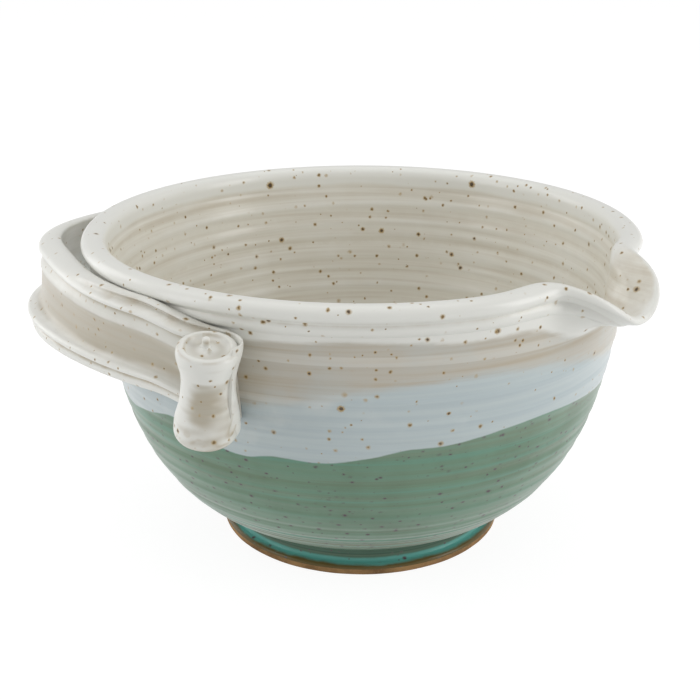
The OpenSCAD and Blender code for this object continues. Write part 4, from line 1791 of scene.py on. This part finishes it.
    def slip_point(self, side: Side, row: int, share: float) -> Point:
        """Places a corner of the slip between the wall and the strap at one end.

        Args:
            side: Which end of the strap.
            row: The ring, along the strap.
            share: The share of the way round the ring.

        Returns:
            Its x, y and z, how thick the glaze lies there and how much it breaks to brown.
        """
        start = self.half - self.slip_turn if side is Side.FRONT else -self.half
        d = start + self.slip_turn * row / self.slip_rows
        a = math.tau * share
        up = self.slip_up - self.slip_spread * math.cos(a)
        z = blend(self.low_z(d), self.top_z(d), up)
        inner = self.bowl.wall_r(min(z, self.bowl.wall_top_z)) + self.slip_gap
        bulge = 0.5 * (1 + math.sin(a))
        plan = self.around(blend(inner, self.radius(d, up), bulge), d)
        return plan.x, plan.y, z, *self.slip_glaze

    def build(self) -> None:
        """Builds and dresses the handle's pieces."""
        finish = GlazeFinish(self.studio, "handle_glaze", spots=HANDLE_SPOTS)
        glaze = finish.plain(finish.tones.web, HANDLE_SPECKS)
        rows = 2 * self.curl_rows + self.strap_rows + 1
        strap = tube(rows, self.sides, self.strap_point, GLAZE_LAYERS)
        finish_piece("strap", strap, glaze, ["handle_strap"])
        for side in Side:
            end = side.name.lower()
            roll, button = self.scroll_mesh(side), self.button_mesh(side)
            slip = tube(self.slip_rows + 1, self.slip_sides, partial(self.slip_point, side), GLAZE_LAYERS)
            finish_piece(f"{end}_roll", roll, glaze, [f"{end}_scroll"])
            finish_piece(f"{end}_button", button, glaze, [f"{end}_scroll_button"])
            finish_piece(f"{end}_slip", slip, glaze, [f"{end}_slip_joint"])


# Large iron spots: centre and radius
OUTER_SPOTS: tuple[Spot, ...] = (
    Spot(-7.0, -107.0, 94.0, 0.95), Spot(-76.8, -71.9, 82.4, 0.45), Spot(30.7, -102.0, 90.1, 0.55),
    Spot(-17.9, -107.6, 107.4, 0.6), Spot(-24.9, -106.8, 112.0, 0.45), Spot(-35.4, -103.7, 110.4, 0.4),
    Spot(4.6, -110.2, 116.2, 0.4), Spot(42.5, -100.9, 110.6, 0.45), Spot(55.3, -95.1, 113.3, 0.45),
    Spot(56.4, -94.4, 114.8, 0.45), Spot(62.9, -90.3, 118.3, 0.45))
INNER_SPOTS: tuple[Spot, ...] = (
    Spot(-11.2, -113.2, 131.9, 0.55), Spot(-41.2, -106.9, 130.7, 0.7), Spot(64.1, -93.6, 130.3, 0.4),
    Spot(-16.7, 95.8, 79.4, 0.55), Spot(-35.8, 93.7, 94.7, 0.75), Spot(-39.9, 92.7, 99.3, 0.95),
    Spot(-45.2, 94.9, 126.5, 1.3), Spot(-72.1, 70.2, 96.6, 0.5), Spot(-74.2, 71.3, 111.2, 0.6),
    Spot(-83.1, 62.9, 118.6, 0.5), Spot(0.7, 101.5, 102.6, 0.75), Spot(10.2, 101.1, 102.0, 0.9),
    Spot(28.6, 97.2, 101.2, 0.75), Spot(32.9, 89.1, 70.8, 0.65), Spot(44.9, 89.1, 93.0, 0.85),
    Spot(53.9, 90.5, 128.3, 1.2), Spot(73.4, 74.2, 121.0, 0.65), Spot(76.6, 63.6, 90.8, 0.6),
    Spot(96.5, 38.8, 119.1, 0.5), Spot(99.9, -58.5, 122.2, 0.45))
HANDLE_SPOTS: tuple[Spot, ...] = (
    Spot(-74.5, -89.7, 128.1, 0.45), Spot(-83.0, -76.3, 94.0, 0.4), Spot(-48.4, -122.7, 108.5, 0.3),
    Spot(-53.4, -121.7, 102.6, 0.25), Spot(-53.9, -123.5, 109.1, 0.35), Spot(-55.7, -110.4, 121.9, 0.3),
    Spot(-62.6, -116.3, 89.6, 0.6), Spot(-50.1, -117.9, 119.3, 0.4))


# Studio

@dataclass(frozen=True)
class Lamp:
    """A soft box: its name, its place and size in metres, and its watts."""

    name: str
    place: Point
    width: float
    height: float
    watts: float

    def hang(self, aim: Point) -> None:
        """Hangs the lamp so that it faces a point.

        Args:
            aim: The point, in metres.
        """
        data = bpy.data.lights.new(self.name, "AREA")
        data.shape = "RECTANGLE"
        data.size, data.size_y = self.width, self.height
        data.energy = self.watts
        lamp = bpy.data.objects.new(self.name, data)
        lamp.location = self.place
        lamp.rotation_euler = (Vector(aim) - Vector(self.place)).to_track_quat("-Z", "Y").to_euler()
        bpy.context.scene.collection.objects.link(lamp)


LAMPS = (
    Lamp("top_box", (-0.15, 0.25, 1.15), 1.1, 1.1, 2.5),
    Lamp("left_box", (-1.1, -0.4, 0.52), 0.45, 1.0, 3.1),
    Lamp("right_box", (1.1, -0.38, 0.5), 0.45, 1.0, 5.0),
    Lamp("left_back_box", (-1.1, 0.6, 0.5), 0.5, 1.0, 2.6),
    Lamp("right_back_box", (1.1, 0.6, 0.5), 0.5, 1.0, 0.9))
WHITE = (1.0, 1.0, 1.0, 1.0)


@dataclass(frozen=True)
class Setting:
    """The floor, the lamps and the camera."""

    lens: float = 61.714
    sensor: float = 36.0
    eye: tuple[float, float, float] = (-0.5, -488.83, 259.64)
    pitch: float = 69.355
    yaw: float = 0.5147
    floor_size: float = 12.0
    floor_tone: float = 0.82
    floor_rough: float = 0.9
    floor_glow: float = 0.78
    floor_lift: float = 0.12
    sky: float = 0.55
    aim: Point = (0.0, 0.0, 0.07)

    def camera(self) -> None:
        """Places the camera at the photograph's viewpoint."""
        data = bpy.data.cameras.new("camera")
        data.lens = self.lens
        data.sensor_width = self.sensor
        data.clip_start = 0.01
        camera = bpy.data.objects.new("camera", data)
        camera.location = [v * METRES for v in self.eye]
        camera.rotation_euler = (math.radians(self.pitch), 0.0, math.radians(self.yaw))
        bpy.context.scene.collection.objects.link(camera)
        bpy.context.scene.camera = camera

    def floor_material(self) -> bpy.types.Material:
        """Makes the floor's white, which the camera and glossy rays see lighter than it lights.

        Returns:
            The material.
        """
        g, shader = new_material("floor_white")
        g.feed(shader.inputs["Base Color"], (self.floor_tone,) * 3 + (1.0,))
        g.feed(shader.inputs["Roughness"], self.floor_rough)
        path = g.add("ShaderNodeLightPath")
        seen = g.math("MAXIMUM", path.outputs["Is Camera Ray"], path.outputs["Is Glossy Ray"])
        glow = g.add("ShaderNodeEmission", {"Color": WHITE, "Strength": 1.0})
        share = g.math("MULTIPLY", seen, self.floor_glow)
        mixed = g.add("ShaderNodeMixShader", {0: share, 1: shader.outputs[0], 2: glow.outputs[0]})
        strength = g.math("MULTIPLY", seen, self.floor_lift)
        lift = g.add("ShaderNodeEmission", {"Color": WHITE, "Strength": strength})
        mixed = g.add("ShaderNodeAddShader", {0: mixed.outputs[0], 1: lift.outputs[0]})
        g.feed(g.tree.nodes["Material Output"].inputs["Surface"], mixed.outputs[0])
        return bpy.data.materials["floor_white"]

    def floor(self) -> None:
        """Lays the pale floor."""
        bm = bmesh.new()
        bmesh.ops.create_grid(bm, x_segments=1, y_segments=1, size=self.floor_size / 2)
        mesh = bpy.data.meshes.new("floor")
        bm.to_mesh(mesh)
        bm.free()
        mesh.materials.append(self.floor_material())
        floor = bpy.data.objects.new("floor", mesh)
        bpy.context.scene.collection.objects.link(floor)

    def lights(self) -> None:
        """Lights the bowl softly from above, from both sides and from behind."""
        world = bpy.data.worlds.new("studio")
        world.use_nodes = True
        background = world.node_tree.nodes["Background"]
        background.inputs["Color"].default_value = WHITE
        background.inputs["Strength"].default_value = self.sky
        bpy.context.scene.world = world
        for lamp in LAMPS:
            lamp.hang(self.aim)

    def build(self) -> None:
        """Sets the stage."""
        self.camera()
        self.floor()
        self.lights()
        bpy.context.scene.view_settings.view_transform = "Standard"


def main() -> None:
    """Builds the bowl, its handle and the studio."""
    logging.basicConfig(level=logging.INFO, format="%(name)s: %(message)s")
    studio = Studio()
    Setting().build()
    bowl = ThrownBowl(studio)
    bowl.build()
    StrapHandle(studio, bowl.shape).build()


if __name__ == "__main__":
    main()
